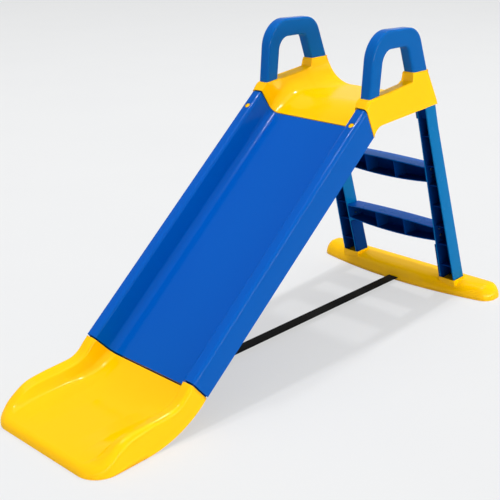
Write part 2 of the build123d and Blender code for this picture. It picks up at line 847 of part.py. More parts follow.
with BuildPart() as bar_hollow:
    extrude(bar_plan(wall), amount=bar_height - wall)
    fillet(bar_hollow.faces().sort_by(Axis.Z)[-1].edges(), bar_top_round - wall)

strap_length = strap_line.length
slot_width = strap_width + 2 * strap_slot_gap
slot_height = strap_thickness + 2 * strap_slot_gap
with BuildPart() as foot_bar:
    extrude(bar_plan(0), amount=bar_height)
    fillet(foot_bar.faces().sort_by(Axis.Z)[-1].edges(), bar_top_round)
    add(bar_hollow.part, mode=Mode.SUBTRACT)
    with BuildSketch(foot_clamp_plane.offset(-slot_height / 2)):
        with Locations((-bar_half_depth, 0)):
            Rectangle(2 * bar_half_depth, slot_width)
    extrude(amount=slot_height, mode=Mode.SUBTRACT)
    with BuildSketch(foot_clamp_plane.offset(clamp_space)):
        Rectangle(clamp_length, clamp_width)
    extrude(until=Until.NEXT)
    with BuildSketch(foot_clamp_plane.offset(clamp_space)):
        with Locations(*clamp_screws):
            Circle(screw_radius + pin_gap)
    extrude(amount=screw_bite, mode=Mode.SUBTRACT)
    for y in sides.values():
        collar = (ladder_inner - collar_wall, -collar_wall, collar_wall, -collar_wall)
        loft(rail_sections(y, (socket_floor_height, collar_top), *collar), ruled=True)
        socket = (ladder_inner - fit_gap, -fit_gap, fit_gap, -fit_gap)
        loft(rail_sections(y, (rail_bottom, collar_top), *socket), ruled=True, mode=Mode.SUBTRACT)
        with BuildSketch(Plane.XY.offset(socket_floor_height)):
            with Locations((foot_screw_x, y * foot_screw_y)):
                Circle(screw_radius + pin_gap)
        extrude(amount=socket_floor, mode=Mode.SUBTRACT)

# Strap: flat webbing, taut from the foot bar to the lip, with a plate screwed over each end.
strap_tail = clamp_length / 2 + wall
with BuildPart() as strap:
    with BuildSketch(foot_clamp_plane.offset(-clamp_space)):
        with Locations((-strap_length / 2, 0)):
            Rectangle(strap_length + 2 * strap_tail, strap_width)
    extrude(amount=strap_thickness)

strap_clamps = {}
for name, plane in clamp_planes.items():
    with BuildPart() as strap_clamp:
        with BuildSketch(plane.offset(-clamp_space)):
            RectangleRounded(clamp_length, clamp_width, wall)
            with Locations(*clamp_screws):
                Circle(screw_radius + pin_gap, mode=Mode.SUBTRACT)
        extrude(amount=-clamp_thickness)
    strap_clamps[name] = strap_clamp.part

# Catch buttons: flanged studs that show in the rail tops, each on a coil spring in its arm.
flange_foot = flange_top - button_flange
spring_foot = bore_floor + spring_wire_radius + pin_gap
spring_height = flange_foot - spring_foot - spring_wire_radius - pin_gap
catch_buttons = {}
catch_springs = {}
for name, y in sides.items():
    with BuildPart() as catch_button:
        with BuildSketch(bore_plane.offset(flange_foot)):
            with Locations((0, y * catch_half_spacing)):
                Circle(button_flange_radius)
        extrude(amount=button_flange)
        with BuildSketch(bore_plane.offset(flange_top)):
            with Locations((0, y * catch_half_spacing)):
                Circle(button_radius)
        extrude(amount=button_top - flange_top)
    catch_buttons[name] = catch_button.part
    spring_centre = bore_plane.origin + square * spring_foot + Vector(0, y * catch_half_spacing, 0)
    with BuildPart() as catch_spring:
        with BuildLine() as coil:
            Helix(spring_height / spring_turns, spring_height, spring_radius,
                  center=spring_centre, direction=square)
        with BuildSketch(Plane(origin=coil.line @ 0, z_dir=coil.line % 0)):
            Circle(spring_wire_radius)
        sweep(path=coil.line, is_frenet=True)
    catch_springs[name] = catch_spring.part


# Screws: round heads with a plain shank, each group seated on one kind of joint.
def screw_group(seats, head_radius):
    """Screws on seat planes: the head below each plane, and above it a shank of the length given."""
    with BuildPart() as group:
        for seat, length in seats:
            with BuildSketch(seat):
                Circle(head_radius)
            extrude(amount=-screw_head)
            with BuildSketch(seat):
                Circle(screw_radius)
            extrude(amount=length)
    return group.part


handle_seats = [
    (Plane(origin=(x, y * handle_middle, seat)), bite)
    for y in sides.values()
    for x, seat, bite in handle_screw_spots
]
step_seats = [
    (Plane(origin=(x, y * channel_inner, z), z_dir=(0, -y, 0)), wall + screw_bite)
    for y in sides.values()
    for tread in treads.values()
    for x, z in step_screw_spots(tread)
]
foot_seats = [
    (Plane(origin=(foot_screw_x, y * foot_screw_y, socket_floor_height)), socket_floor + rail_foot_plate)
    for y in sides.values()
]
lip_seats = [
    (Plane(origin=tongue_underside.from_local_coords((x, y, 0)), z_dir=square), lip_bite)
    for x, y in lip_screw_spots
]
clamp_seat_depth = clamp_space + clamp_thickness
clamp_seats = {
    name: [
        (Plane(origin=plane.from_local_coords((x, y, -clamp_seat_depth)), z_dir=strap_up),
         clamp_thickness + strap_thickness + screw_bite)
        for x, y in clamp_screws
    ]
    for name, plane in clamp_planes.items()
}

nodes = {
    "chute": chute.part,
    "exit_lip": exit_lip.part,
    "platform": platform.part,
    "foot_bar": foot_bar.part,
    "strap": strap.part,
    "handle_screws": screw_group(handle_seats, screw_head_radius),
    "step_screws": screw_group(step_seats, screw_head_radius),
    "foot_screws": screw_group(foot_seats, screw_head_radius),
    "lip_screws": screw_group(lip_seats, lip_screw_head_radius),
}
for name in treads:
    nodes["step_" + name] = steps[name]
for name in clamp_planes:
    nodes["strap_clamp_" + name] = strap_clamps[name]
    nodes["strap_screws_" + name] = screw_group(clamp_seats[name], screw_head_radius)
for name in sides:
    nodes["handle_" + name] = handles[name]
    nodes["ladder_rail_" + name] = ladder_rails[name]
    nodes["hinge_pin_" + name] = hinge_pins[name]
    nodes["catch_button_" + name] = catch_buttons[name]
    nodes["catch_spring_" + name] = catch_springs[name]

for node, part in nodes.items():
    part.label = node
    export_step(part, "parts/" + node + ".step")
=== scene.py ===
from math import radians

import bmesh
import bpy
import numpy as np
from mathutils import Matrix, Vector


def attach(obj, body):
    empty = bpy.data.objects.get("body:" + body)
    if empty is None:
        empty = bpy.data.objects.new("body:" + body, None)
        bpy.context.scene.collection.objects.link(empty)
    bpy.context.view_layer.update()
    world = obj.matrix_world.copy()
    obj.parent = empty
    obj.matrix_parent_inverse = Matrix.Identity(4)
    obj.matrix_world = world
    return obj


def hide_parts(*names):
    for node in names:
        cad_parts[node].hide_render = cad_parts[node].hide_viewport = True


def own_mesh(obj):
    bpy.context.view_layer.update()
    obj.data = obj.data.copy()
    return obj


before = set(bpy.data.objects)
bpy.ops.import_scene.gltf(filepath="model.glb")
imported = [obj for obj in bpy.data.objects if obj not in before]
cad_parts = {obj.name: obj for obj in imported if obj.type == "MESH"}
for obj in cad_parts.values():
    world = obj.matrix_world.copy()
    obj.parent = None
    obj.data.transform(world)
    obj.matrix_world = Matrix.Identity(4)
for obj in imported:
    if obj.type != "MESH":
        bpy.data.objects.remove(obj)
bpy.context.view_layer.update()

# Studio: a pale floor that runs out of sight, a soft ceiling, a wide lamp and two compact ones overhead, and
# a low warm window on the slide's left. The camera stands off the lip's left corner, above the handles. It sees
# a plain pale backdrop in place of the ceiling, as reflections do, and it doesn't see the window.
scene = bpy.context.scene
scene.view_settings.view_transform = "Standard"

camera_down = 20.7705
camera_heading = 42.798
lens = bpy.data.cameras.new("photo_camera")
lens.sensor_width = 36
lens.lens = 67.81
camera = bpy.data.objects.new("photo_camera", lens)
camera.location = (-1.6333, -1.4627, 1.0867)
camera.rotation_euler = (radians(90 - camera_down), 0, radians(camera_heading - 90))
scene.collection.objects.link(camera)
scene.camera = camera


def linear(red, green, blue):
    """A screen colour from 0 to 255 as linear light: the usual two-part screen curve, undone."""
    share = np.array([red, green, blue]) / 255
    light = np.where(share > 0.04045, ((share + 0.055) / 1.055) ** 2.4, share / 12.92)
    return (*light.tolist(), 1)


def adjusted(made, settings):
    """A shader node with settings: one named for a socket goes to that socket, and any other to the node."""
    for name, value in settings.items():
        socket = made.inputs.get(name.replace("_", " "))
        if socket is None:
            setattr(made, name, value)
        else:
            socket.default_value = value
    return made


def node(tree, kind, **settings):
    """A new shader node with its settings."""
    return adjusted(tree.nodes.new(kind), settings)


def wire(tree, *links):
    """Joins sockets. Each link names a node, its output, the next node and that node's input."""
    for source, output, target, entry in links:
        tree.links.new(source.outputs[output], target.inputs[entry])


def shown_straight(tree):
    """A socket that is 1 for rays from the camera, a reflection or a clear piece, and 0 for light itself:
    the largest of the three marks."""
    path = node(tree, "ShaderNodeLightPath")
    seen = node(tree, "ShaderNodeMath", operation="MAXIMUM")
    shown = node(tree, "ShaderNodeMath", operation="MAXIMUM")
    wire(tree,
         (path, "Is Camera Ray", seen, 0),
         (path, "Is Glossy Ray", seen, 1),
         (seen, 0, shown, 0),
         (path, "Is Transmission Ray", shown, 1))
    return shown.outputs[0]


ceiling_strength = 1.15
ceiling_stops = ((0.0, 0.72), (0.2, 0.66), (0.34, 0.17), (0.5, 0.2), (0.75, 0.5), (1.0, 0.55))
window_strength = 12.0
window_stops = ((0.0, 1.0), (0.1, 1.0), (0.17, 0.0))
sky = bpy.data.worlds.new("studio_sky")
sky.use_nodes = True
tree = sky.node_tree
tree.nodes.clear()
spot = node(tree, "ShaderNodeTexCoord")
parts = node(tree, "ShaderNodeSeparateXYZ")
path = node(tree, "ShaderNodeLightPath")
ceiling = node(tree, "ShaderNodeValToRGB")
window_height = node(tree, "ShaderNodeValToRGB")
for band, stops in ((ceiling, ceiling_stops), (window_height, window_stops)):
    for rank, (rise, light) in enumerate(stops):
        stop = band.color_ramp.elements[rank] if rank < 2 else band.color_ramp.elements.new(rise)
        stop.position = rise
        stop.color = (light, light, light, 1)
window_side = node(tree, "ShaderNodeMapRange", From_Min=-0.55, From_Max=-1.0)
window = node(tree, "ShaderNodeMath", operation="MULTIPLY")
unseen = node(tree, "ShaderNodeMath", operation="SUBTRACT")
unseen.inputs[0].default_value = 1.0
screened = node(tree, "ShaderNodeMath", operation="MULTIPLY")
bright = node(tree, "ShaderNodeMapRange", To_Max=window_strength)
lit_sky = node(tree, "ShaderNodeBackground", Strength=ceiling_strength)
lit_window = node(tree, "ShaderNodeBackground", Color=linear(255, 246, 212))
backdrop = node(tree, "ShaderNodeBackground", Color=linear(231, 232, 233), Strength=1.0)
pick = node(tree, "ShaderNodeMixShader")
both = node(tree, "ShaderNodeAddShader")
out = node(tree, "ShaderNodeOutputWorld")
wire(tree,
     (spot, "Generated", parts, "Vector"),
     (parts, "Z", ceiling, "Fac"),
     (parts, "Z", window_height, "Fac"),
     (parts, "Y", window_side, "Value"),
     (window_height, "Color", window, 0),
     (window_side, "Result", window, 1),
     (path, "Is Camera Ray", unseen, 1),
     (window, 0, screened, 0),
     (unseen, 0, screened, 1),
     (screened, 0, bright, "Value"),
     (bright, "Result", lit_window, "Strength"),
     (ceiling, "Color", lit_sky, "Color"),
     (lit_sky, 0, pick, 1),
     (backdrop, 0, pick, 2),
     (pick, 0, both, 0),
     (lit_window, 0, both, 1),
     (both, 0, out, "Surface"))
tree.links.new(shown_straight(tree), pick.inputs["Fac"])
scene.world = sky

# Each lamp has its place, the point it faces, its two sizes and its power.
lamps = {
    "wide_lamp": ((0.2, 0.1, 9.6), (0.2, 0.1, 0.0), (8.0, 8.0), 170.0),
    "lip_lamp": ((4.85, 0.5, 8.95), (0.0, 0.0, 0.3), (0.5, 0.8), 285.0),
    "rail_lamp": ((-1.87, 0.3, 8.64), (0.0, 0.0, 0.3), (0.5, 0.8), 265.0),
}
for lamp_name, (place, target, sizes, power) in lamps.items():
    lamp_data = bpy.data.lights.new(lamp_name, "AREA")
    lamp_data.energy = power
    lamp_data.shape = "ELLIPSE"
    lamp_data.size, lamp_data.size_y = sizes
    lamp = bpy.data.objects.new(lamp_name, lamp_data)
    lamp.location = place
    lamp.rotation_euler = (Vector(target) - Vector(place)).to_track_quat("-Z", "Y").to_euler()
    scene.collection.objects.link(lamp)


def texture(tree, kind, **settings):
    """A shader node that reads the piece's own coordinates."""
    made = node(tree, kind, **settings)
    wire(tree, (node(tree, "ShaderNodeTexCoord"), "Object", made, "Vector"))
    return made


def blank_material(name, **settings):
    """A new material, with its node tree and its shader, which gets the settings."""
    material = bpy.data.materials.new(name)
    material.use_nodes = True
    tree = material.node_tree
    return material, tree, adjusted(tree.nodes["Principled BSDF"], settings)


def tone_by(tree, amount, deep, light):
    """Base colour: a deep and a light tone, mixed by an amount from 0 to 1 that a socket gives."""
    tone = node(tree, "ShaderNodeMix", data_type="RGBA")
    tone.inputs[6].default_value = deep
    tone.inputs[7].default_value = light
    tree.links.new(amount, tone.inputs["Factor"])
    tree.links.new(tone.outputs[2], tree.nodes["Principled BSDF"].inputs["Base Color"])


glow_share = 0.6
paper, tree, shader = blank_material("floor_paper", Roughness=0.9, Specular_IOR_Level=0.1)
mottle = texture(tree, "ShaderNodeTexNoise", Scale=2.0, Detail=3.0)
tone_by(tree, mottle.outputs["Fac"], linear(206, 207, 209), linear(212, 213, 214))
glow_part = node(tree, "ShaderNodeMath", operation="MULTIPLY")
glow_part.inputs[1].default_value = glow_share
glow = node(tree, "ShaderNodeEmission", Color=linear(248, 249, 250), Strength=1.0)
pick = node(tree, "ShaderNodeMixShader")
tree.links.new(shown_straight(tree), glow_part.inputs[0])
wire(tree,
     (glow_part, 0, pick, "Fac"),
     (shader, 0, pick, 1),
     (glow, 0, pick, 2),
     (pick, 0, tree.nodes["Material Output"], "Surface"))
floor_half = 40.0
floor_mesh = bpy.data.meshes.new("studio_floor")
floor_corners = np.array([[-1, -1, 0], [1, -1, 0], [1, 1, 0], [-1, 1, 0]]) * floor_half
floor_mesh.from_pydata(floor_corners.tolist(), [], [[0, 1, 2, 3]])
floor_mesh.materials.append(paper)
studio_floor = bpy.data.objects.new("studio_floor", floor_mesh)
scene.collection.objects.link(studio_floor)

# Chute: one straight channel of glossy blue plastic, moulded in a single thin skin with two round side rails.
# A hooked hem behind each end tucks into the lip and the platform, in painted shade so that each seam shows as
# a dark line, and two holes take the catch buttons.
skin = 3.0
lower_seam = np.array([-421.911, 113.4])
slope_angle = 40.4
along = np.array([np.cos(np.radians(slope_angle)), np.sin(np.radians(slope_angle))])
square = np.array([-along[1], along[0]])
chute_length = 756.0
chute_half_width = 182.0
rail_inner_edge = 150.0
rail_crown = 6.0
rail_round = 10.0
chute_floor_depth = 54.0
chute_floor_half = 137.0
chute_floor_round = 24.0
side_low = 59.0
side_high = 72.0
seam_tilt = np.tan(np.radians(13.0))
seam_gap = 0.4
button_run = 710.0
button_spacing = 165.5
button_hole = 7.6
turn_steps = 48
hole_top, hole_foot = 30.0, -24.0
dense_from = 0.9
hook_skin = 2.0
hook_round = 3.0
hook_floor_round = 32.0
hook_wall_share = 0.8
hook_end = 16.0


def rounded(corners, radii, steps):
    """An outline whose inner corners give way to arcs. Each arc touches both sides of its corner at
    radius over tan of half the corner's angle, and runs between those points about its centre."""
    corners = np.asarray(corners, float)
    radii = np.broadcast_to(np.asarray(radii, float), corners.shape[:-2] + (corners.shape[-2] - 2,))
    middle = corners[..., 1:-1, :]
    back = corners[..., :-2, :] - middle
    ahead = corners[..., 2:, :] - middle
    back = back / np.linalg.norm(back, axis=-1, keepdims=True)
    ahead = ahead / np.linalg.norm(ahead, axis=-1, keepdims=True)
    half = np.arccos(np.clip((back * ahead).sum(-1), -1, 1 - 1e-9))[..., None] / 2
    half = np.minimum(half, np.pi / 2 - 1e-4)
    bisector = back + ahead
    size = np.linalg.norm(bisector, axis=-1, keepdims=True)
    bisector = bisector / np.maximum(size, 1e-9)
    centre = middle + bisector * radii[..., None] / np.sin(half)
    start = middle + back * radii[..., None] / np.tan(half) - centre
    end = middle + ahead * radii[..., None] / np.tan(half) - centre
    turn = (np.pi - 2 * half)[..., None, :]
    share = np.linspace(0, 1, steps)[:, None]
    weight_start = np.sin((1 - share) * turn) / np.sin(turn)
    weight_end = np.sin(share * turn) / np.sin(turn)
    arcs = centre[..., None, :]
    arcs = arcs + weight_start * start[..., None, :] + weight_end * end[..., None, :]
    arcs = arcs.reshape(corners.shape[:-2] + (-1, corners.shape[-1]))
    return np.concatenate([corners[..., :1, :], arcs, corners[..., -1:, :]], axis=-2)


def moulding(name, sheets, body, finish, thickness=0.0, edge=0.0, crease=35.0, inside=None):
    """A piece from sheets, which are grids of points in millimetres. Neighbours in a grid are joined by
    quads, touching edges are merged and the faces turned so that the topmost looks up."""
    grids = [np.asarray(sheet, float) for sheet in sheets]
    starts = np.cumsum([0] + [grid.shape[0] * grid.shape[1] for grid in grids])
    quads = []
    for grid, start in zip(grids, starts):
        index = np.arange(grid.shape[0] * grid.shape[1]).reshape(grid.shape[:2]) + start
        ring = [index[:-1, :-1], index[1:, :-1], index[1:, 1:], index[:-1, 1:]]
        quads.append(np.stack(ring, axis=-1).reshape(-1, 4))
    points = np.concatenate([grid.reshape(-1, 3) for grid in grids]) / 1000
    mesh = bpy.data.meshes.new(name)
    mesh.from_pydata(points.tolist(), [], np.concatenate(quads).tolist())
    shape = bmesh.new()
    shape.from_mesh(mesh)
    bmesh.ops.remove_doubles(shape, verts=shape.verts, dist=2e-5)
    bmesh.ops.dissolve_degenerate(shape, dist=1e-5, edges=shape.edges)
    bmesh.ops.recalc_face_normals(shape, faces=shape.faces)
    top = max(shape.faces, key=lambda face: face.calc_center_median().z)
    if top.normal.z < 0:
        bmesh.ops.reverse_faces(shape, faces=shape.faces)
    shape.to_mesh(mesh)
    shape.free()
    mesh.polygons.foreach_set("use_smooth", np.ones(len(mesh.polygons), bool))
    mesh.set_sharp_from_angle(angle=radians(crease))
    mesh.materials.append(finish)
    piece = bpy.data.objects.new(name, mesh)
    scene.collection.objects.link(piece)
    if thickness:
        shell = piece.modifiers.new("skin", "SOLIDIFY")
        shell.thickness = thickness / 1000
        shell.offset = -1
        # A second finish goes on the skin's inner faces; the script gives it only the painted shade of
        # recesses.
        if inside:
            mesh.materials.append(inside)
            shell.material_offset = 1
    if edge:
        bevel = piece.modifiers.new("edge", "BEVEL")
        bevel.width = edge / 1000
        bevel.segments = 3
        bevel.limit_method = "ANGLE"
        bevel.angle_limit = radians(crease)
        bevel.harden_normals = True
    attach(piece, body)
    return piece


def glossy_plastic(name, deep, light, tint, gloss, shine, run=(1.0, 1.0, 1.0), turn=0.0):
    """Moulded plastic. Two close tones drift with slow noise, a faster noise turned and stretched along
    the run roughens the gloss, and the bump is fine grain over the slow waves of a cooled skin."""
    material, tree, shader = blank_material(name, IOR=1.08, Specular_Tint=tint, Coat_Weight=shine,
                                            Coat_IOR=2.2, Coat_Roughness=0.1)
    drift = texture(tree, "ShaderNodeTexNoise", Scale=3.0, Detail=1.0)
    lie = texture(tree, "ShaderNodeMapping", Rotation=(0, radians(turn), 0), Scale=run)
    rub = node(tree, "ShaderNodeTexNoise", Scale=24.0, Detail=2.0, Roughness=0.5)
    rough = node(tree, "ShaderNodeMapRange", From_Min=0.35, From_Max=0.75,
                 To_Min=gloss - 0.02, To_Max=gloss + 0.05)
    waves = texture(tree, "ShaderNodeTexNoise", Scale=11.0, Detail=1.0)
    grain = texture(tree, "ShaderNodeTexNoise", Scale=900.0, Detail=2.0)
    wave_bump = node(tree, "ShaderNodeBump", Strength=0.08, Distance=0.0006)
    grain_bump = node(tree, "ShaderNodeBump", Strength=0.02, Distance=0.00003)
    tone_by(tree, drift.outputs["Fac"], deep, light)
    wire(tree,
         (lie, "Vector", rub, "Vector"),
         (rub, "Fac", rough, "Value"),
         (rough, "Result", shader, "Roughness"),
         (waves, "Fac", wave_bump, "Height"),
         (grain, "Fac", grain_bump, "Height"),
         (wave_bump, "Normal", grain_bump, "Normal"),
         (grain_bump, "Normal", shader, "Normal"))
    return material


def on_slope(run, height, across):
    """A point by its run along the slope, its height square to it and its place across the slide."""
    run, height, across = np.broadcast_arrays(run, height, across)
    side = lower_seam + run[..., None] * along + height[..., None] * square
    return np.stack([side[..., 0], across, side[..., 1]], axis=-1)


def turned(profile, side):
    """A turned solid: a profile of radius and height carried once round an axis on the slope.
    The axis stands square to the slope in the middle of that side's catch button."""
    around = np.linspace(0, 2 * np.pi, turn_steps + 1)
    radius = profile[:, :1]
    run = button_run + radius * np.cos(around)
    return on_slope(run, profile[:, 1:] + 0 * run, side * button_spacing + radius * np.sin(around))


chute_corners = np.array([
    [-chute_half_width, -side_high],
    [-chute_half_width, rail_crown],
    [-rail_inner_edge, rail_crown],
    [-chute_floor_half, -chute_floor_depth],
    [chute_floor_half, -chute_floor_depth],
    [rail_inner_edge, rail_crown],
    [chute_half_width, rail_crown],
    [chute_half_width, -side_high],
])
chute_radii = [rail_round, rail_round, chute_floor_round, chute_floor_round, rail_round, rail_round]
chute_profile = rounded(chute_corners, chute_radii, 9)
share = np.concatenate([np.linspace(0, dense_from, 28)[:-1], np.linspace(dense_from, 1, 16)])[:, None]
side_edge = -side_low - (side_high - side_low) * share
height = np.maximum(chute_profile[:, 1], side_edge)
run = seam_gap + share * (chute_length - 2 * seam_gap + height * seam_tilt)
blue_tint = (0.0, 0.45, 1.0, 1.0)
slide_blue = glossy_plastic("slide_blue", linear(0, 84, 182), linear(0, 88, 187), blue_tint, 0.22, 0.055,
                            (0.05, 1.0, 1.0), slope_angle)
chute = moulding("chute_moulding", [on_slope(run, height, chute_profile[:, 0])], "slide",
                 slide_blue, thickness=skin, edge=0.8)
hole_profile = np.array([[0, hole_top], [button_hole, hole_top], [button_hole, hole_foot], [0, hole_foot]])
hole_sheets = [turned(hole_profile, side) for side in (-1, 1)]
hole_cutter = moulding("hole_cutter", hole_sheets, "slide", slide_blue)
hole = chute.modifiers.new("button_holes", "BOOLEAN")
hole.object = hole_cutter
hole.solver = "EXACT"
graph = bpy.context.evaluated_depsgraph_get()
chute.data = bpy.data.meshes.new_from_object(chute.evaluated_get(graph))
chute.modifiers.clear()
bpy.data.objects.remove(hole_cutter)
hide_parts("chute")

# Painted shade: a deeper, matt blue for the chute's hooks and for the insides and ribs of the ladder's rails
# and steps, standing in for the shade in those seams and recesses.
painted_shade_blue = glossy_plastic("painted_shade_blue", linear(0, 48, 122), linear(0, 54, 130), blue_tint, 0.5, 0.0)
rail_outline = np.array([[chute_half_width, -chute_floor_depth], [chute_half_width, rail_crown],
                         [rail_inner_edge, rail_crown], [chute_floor_half, -chute_floor_depth]])
hook_rounds = [hook_round, hook_round, hook_floor_round, hook_floor_round, hook_round, hook_round]
# Each hook has its depth under the rails, its seam's run and tilt, and its start from that seam.
hook_ends = (
    ("lower", 8.0, 0.0, 0.0, -6.0),
    ("upper", 4.5, chute_length, seam_tilt, -4.0),
)
for name, sink, seam_run, hook_tilt, hook_start in hook_ends:
    inward = np.array([[-1, -1], [-1, -1], [hook_wall_share, -1], [hook_wall_share, -1]])
    hook_corners = rail_outline + sink * inward
    hook_corners = np.concatenate([hook_corners * [-1, 1], hook_corners[::-1]])
    hook_profile = rounded(hook_corners, hook_rounds, 9)
    hook_run = seam_run + hook_profile[:, 1] * hook_tilt + np.array([[hook_start], [hook_end]])
    hook_sheet = on_slope(hook_run, hook_profile[:, 1], hook_profile[:, 0])
    # Painted shade: each hook takes the darker blue so that its seam reads as a dark line.
    moulding("chute_" + name + "_hook", [hook_sheet], "slide", painted_shade_blue, thickness=hook_skin)

# Exit lip: a yellow tray that turns the slope level, moulded as one skin with round side rims that
# sink to a low rolled front edge. It is closed below its slope and open under its level floor.
lip_front = -696.911
lip_floor = 22.0
lip_turn = 180.0
lip_corner = 55.0
seam_roll = 10.0
front_roll = 17.0
seam_rim = np.array([[32.0, 1.0], [45.0, 0.0], [75.0, 0.0], [115.0, 0.0]])
front_rim = np.array([[32.0, 0.86], [44.0, 0.42], [88.0, 0.12], [128.0, 0.02]])
seam_rounds = np.array([10.0, 24.0, 5.0, 5.0])
front_rounds = np.array([10.0, 20.0, 70.0, 140.0])
rim_change = 150.0
seam_step = 1.6
lip_gap = 3.2
lip_foot_length = 134.0
lip_foot_end = lip_front + lip_foot_length
lip_overrun = 1.0
rim_margin = 0.001
rim_knees = [[-463.911, 76.0], [-609.911, 68.0], [-676.911, lip_floor]]
rim_knee_rounds = [60.0, 85.0, 55.0]
rim_lift = 0.02
rim_squeeze_start, rim_squeeze_run = 30.0, 130.0
roll_start, roll_run = -540.0, 90.0
step_run = 45.0
under_turn = 268.66
under_seam_angle = 41.85
yellow_tint = (1.0, 0.8, 0.0, 1.0)
slide_yellow = glossy_plastic("slide_yellow", linear(255, 194, 0), linear(255, 198, 0), yellow_tint, 0.2, 0.09)


def crossing(origin, heading, curve):
    """How far along each heading a side-view line from its origin meets a curve: the cross product of
    the heading with the curve's points changes sign there, and the two points are mixed to zero."""
    offset = curve[None] - origin[:, None]
    side = heading[:, None, 0] * offset[..., 1] - heading[:, None, 1] * offset[..., 0]
    side = side * np.sign(side[:, -1:] - side[:, :1])
    reach = (offset * heading[:, None]).sum(-1) / (heading[:, None] ** 2).sum(-1)
    after = np.clip((side < 0).sum(1), 1, len(curve) - 1)
    row = np.arange(len(origin))
    low, high = side[row, after - 1], side[row, after]
    mix = -low / (high - low)
    return reach[row, after - 1] * (1 - mix) + reach[row, after] * mix


def between(first, last, count):
    """Points evenly spaced between two arrays of points, the ends left out."""
    mix = np.linspace(0, 1, count + 2)[1:-1]
    return first[..., None, :] * (1 - mix[:, None]) + last[..., None, :] * mix[:, None]


def mixed(first, last, share):
    """The first value, carried towards the last by a share from 0 to 1."""
    return first + (last - first) * share


def ramped(place, start, length):
    """0 up to a start, 1 from a length beyond it, and straight in between."""
    return np.clip((place - start) / length, 0, 1)


def eased(share):
    """A share from 0 to 1 that sets off and arrives gently: three times its square less twice its cube."""
    return share * share * (3 - 2 * share)


def curtain(upper, lower, count):
    """A sheet that hangs from an upper edge to a lower one: rows of points spaced evenly between them."""
    drop = np.linspace(0, 1, count)[:, None, None]
    return upper * (1 - drop) + lower * drop


seam_floor = lower_seam - square * chute_floor_depth - along * lip_gap
level_start = lower_seam[0] + along[1] * chute_floor_depth
level_start = level_start - (lower_seam[1] - along[0] * chute_floor_depth - lip_floor) / along[1] * along[0]
level_start = level_start - lip_turn * np.tan(np.radians(slope_angle / 2))
tilt = np.radians(np.linspace(slope_angle, 0, 26))
bend = np.stack([level_start + lip_turn * np.sin(tilt), lip_floor + lip_turn - lip_turn * np.cos(tilt)], 1)
arc_start = lip_front + lip_corner
level = np.linspace(level_start, arc_start, 24)[1:]
corner_turn = np.radians(np.linspace(0, 90, 30))[1:]
corner_run = arc_start - lip_corner * np.sin(corner_turn)
station_x = np.concatenate([[seam_floor[0]], bend[:, 0], level, corner_run])
station_z = np.concatenate([[seam_floor[1]], bend[:, 1], np.full(len(level) + len(corner_run), lip_floor)])
station_tilt = np.concatenate([tilt[:1], tilt, np.zeros(len(level) + len(corner_run))])
station = np.stack([station_x, station_z], axis=1)
station_up = np.stack([-np.sin(station_tilt), np.cos(station_tilt)], axis=1)
half_width = np.full(len(station), chute_half_width)
half_width[-len(corner_run):] = chute_half_width - lip_corner + lip_corner * np.cos(corner_turn)
rim_start = lower_seam + square * (rail_crown + rim_margin)
rim_top = rounded([rim_start, *rim_knees, [lip_front - lip_overrun, lip_floor]], rim_knee_rounds, 16)
under_angle = np.linspace(np.radians(under_seam_angle), 0, 30)
under = np.stack([lip_foot_end + under_turn * np.sin(under_angle),
                  under_turn * (1 - np.cos(under_angle))], axis=1)
under = np.concatenate([under, [[lip_front - lip_overrun, 0.0]]])
rim_height = np.maximum(crossing(station, station_up, rim_top), 0) + rim_lift
foot_height = crossing(station, station_up, under)

station_run = np.concatenate([[0], np.cumsum(np.linalg.norm(np.diff(station, axis=0), axis=1))])
step_down = seam_step * (1 - ramped(station_run, 0, step_run)) ** 2
half_width = half_width - step_down
change = eased(ramped(station_run, 0, rim_change))[:, None]
rim_shape = mixed(seam_rim, front_rim, change[..., None])
rim_shape[..., 0] *= np.minimum((half_width - rim_squeeze_start) / rim_squeeze_run, 1)[:, None]
rim_shape[..., 1] *= rim_height[:, None]
lip_roll = mixed(seam_roll, front_roll, eased(ramped(-station_x, -roll_start, roll_run)))
crest = np.stack([lip_roll, rim_height], axis=1)[:, None]
lip_roll = lip_roll[:, None]
keel = np.stack([half_width, np.zeros(len(station))], axis=1)[:, None]
section = np.concatenate([crest, rim_shape, keel], axis=1)
section = rounded(section, mixed(seam_rounds, front_rounds, change), 9)
roll = np.linspace(0, np.pi / 2, 10)[:-1]
roll_in = lip_roll * (1 - np.cos(roll))
rolled = np.stack(np.broadcast_arrays(roll_in, rim_height[:, None]), axis=-1)
crown = between(section[:, 0], section[:, 1], 5)
floor_run = between(section[:, -2], section[:, -1], 8)
half_section = [rolled, section[:, :1], crown, section[:, 1:-1], floor_run, section[:, -1:]]
half_section = np.concatenate(half_section, axis=1)
inset, rise = half_section[..., 0], half_section[..., 1] - step_down[:, None]
across = half_width[:, None] - inset
beyond_run = arc_start - station_x[:, None]
beyond_across = across - (chute_half_width - lip_corner)
edge_distance = lip_corner - np.hypot(np.maximum(beyond_run, 0), np.maximum(beyond_across, 0))
edge_distance = edge_distance - np.minimum(np.maximum(beyond_run, beyond_across), 0)
edge_distance = np.clip(edge_distance, 0, lip_roll)
rise = rise - lip_roll + np.sqrt(lip_roll ** 2 - (lip_roll - edge_distance) ** 2)


def lip_point(across, rise):
    """A point of the lip: from its station on the floor line, up the station's own normal and across."""
    side = station[:, None] + rise[..., None] * station_up[:, None]
    return np.stack([side[..., 0], across, side[..., 1]], axis=-1)


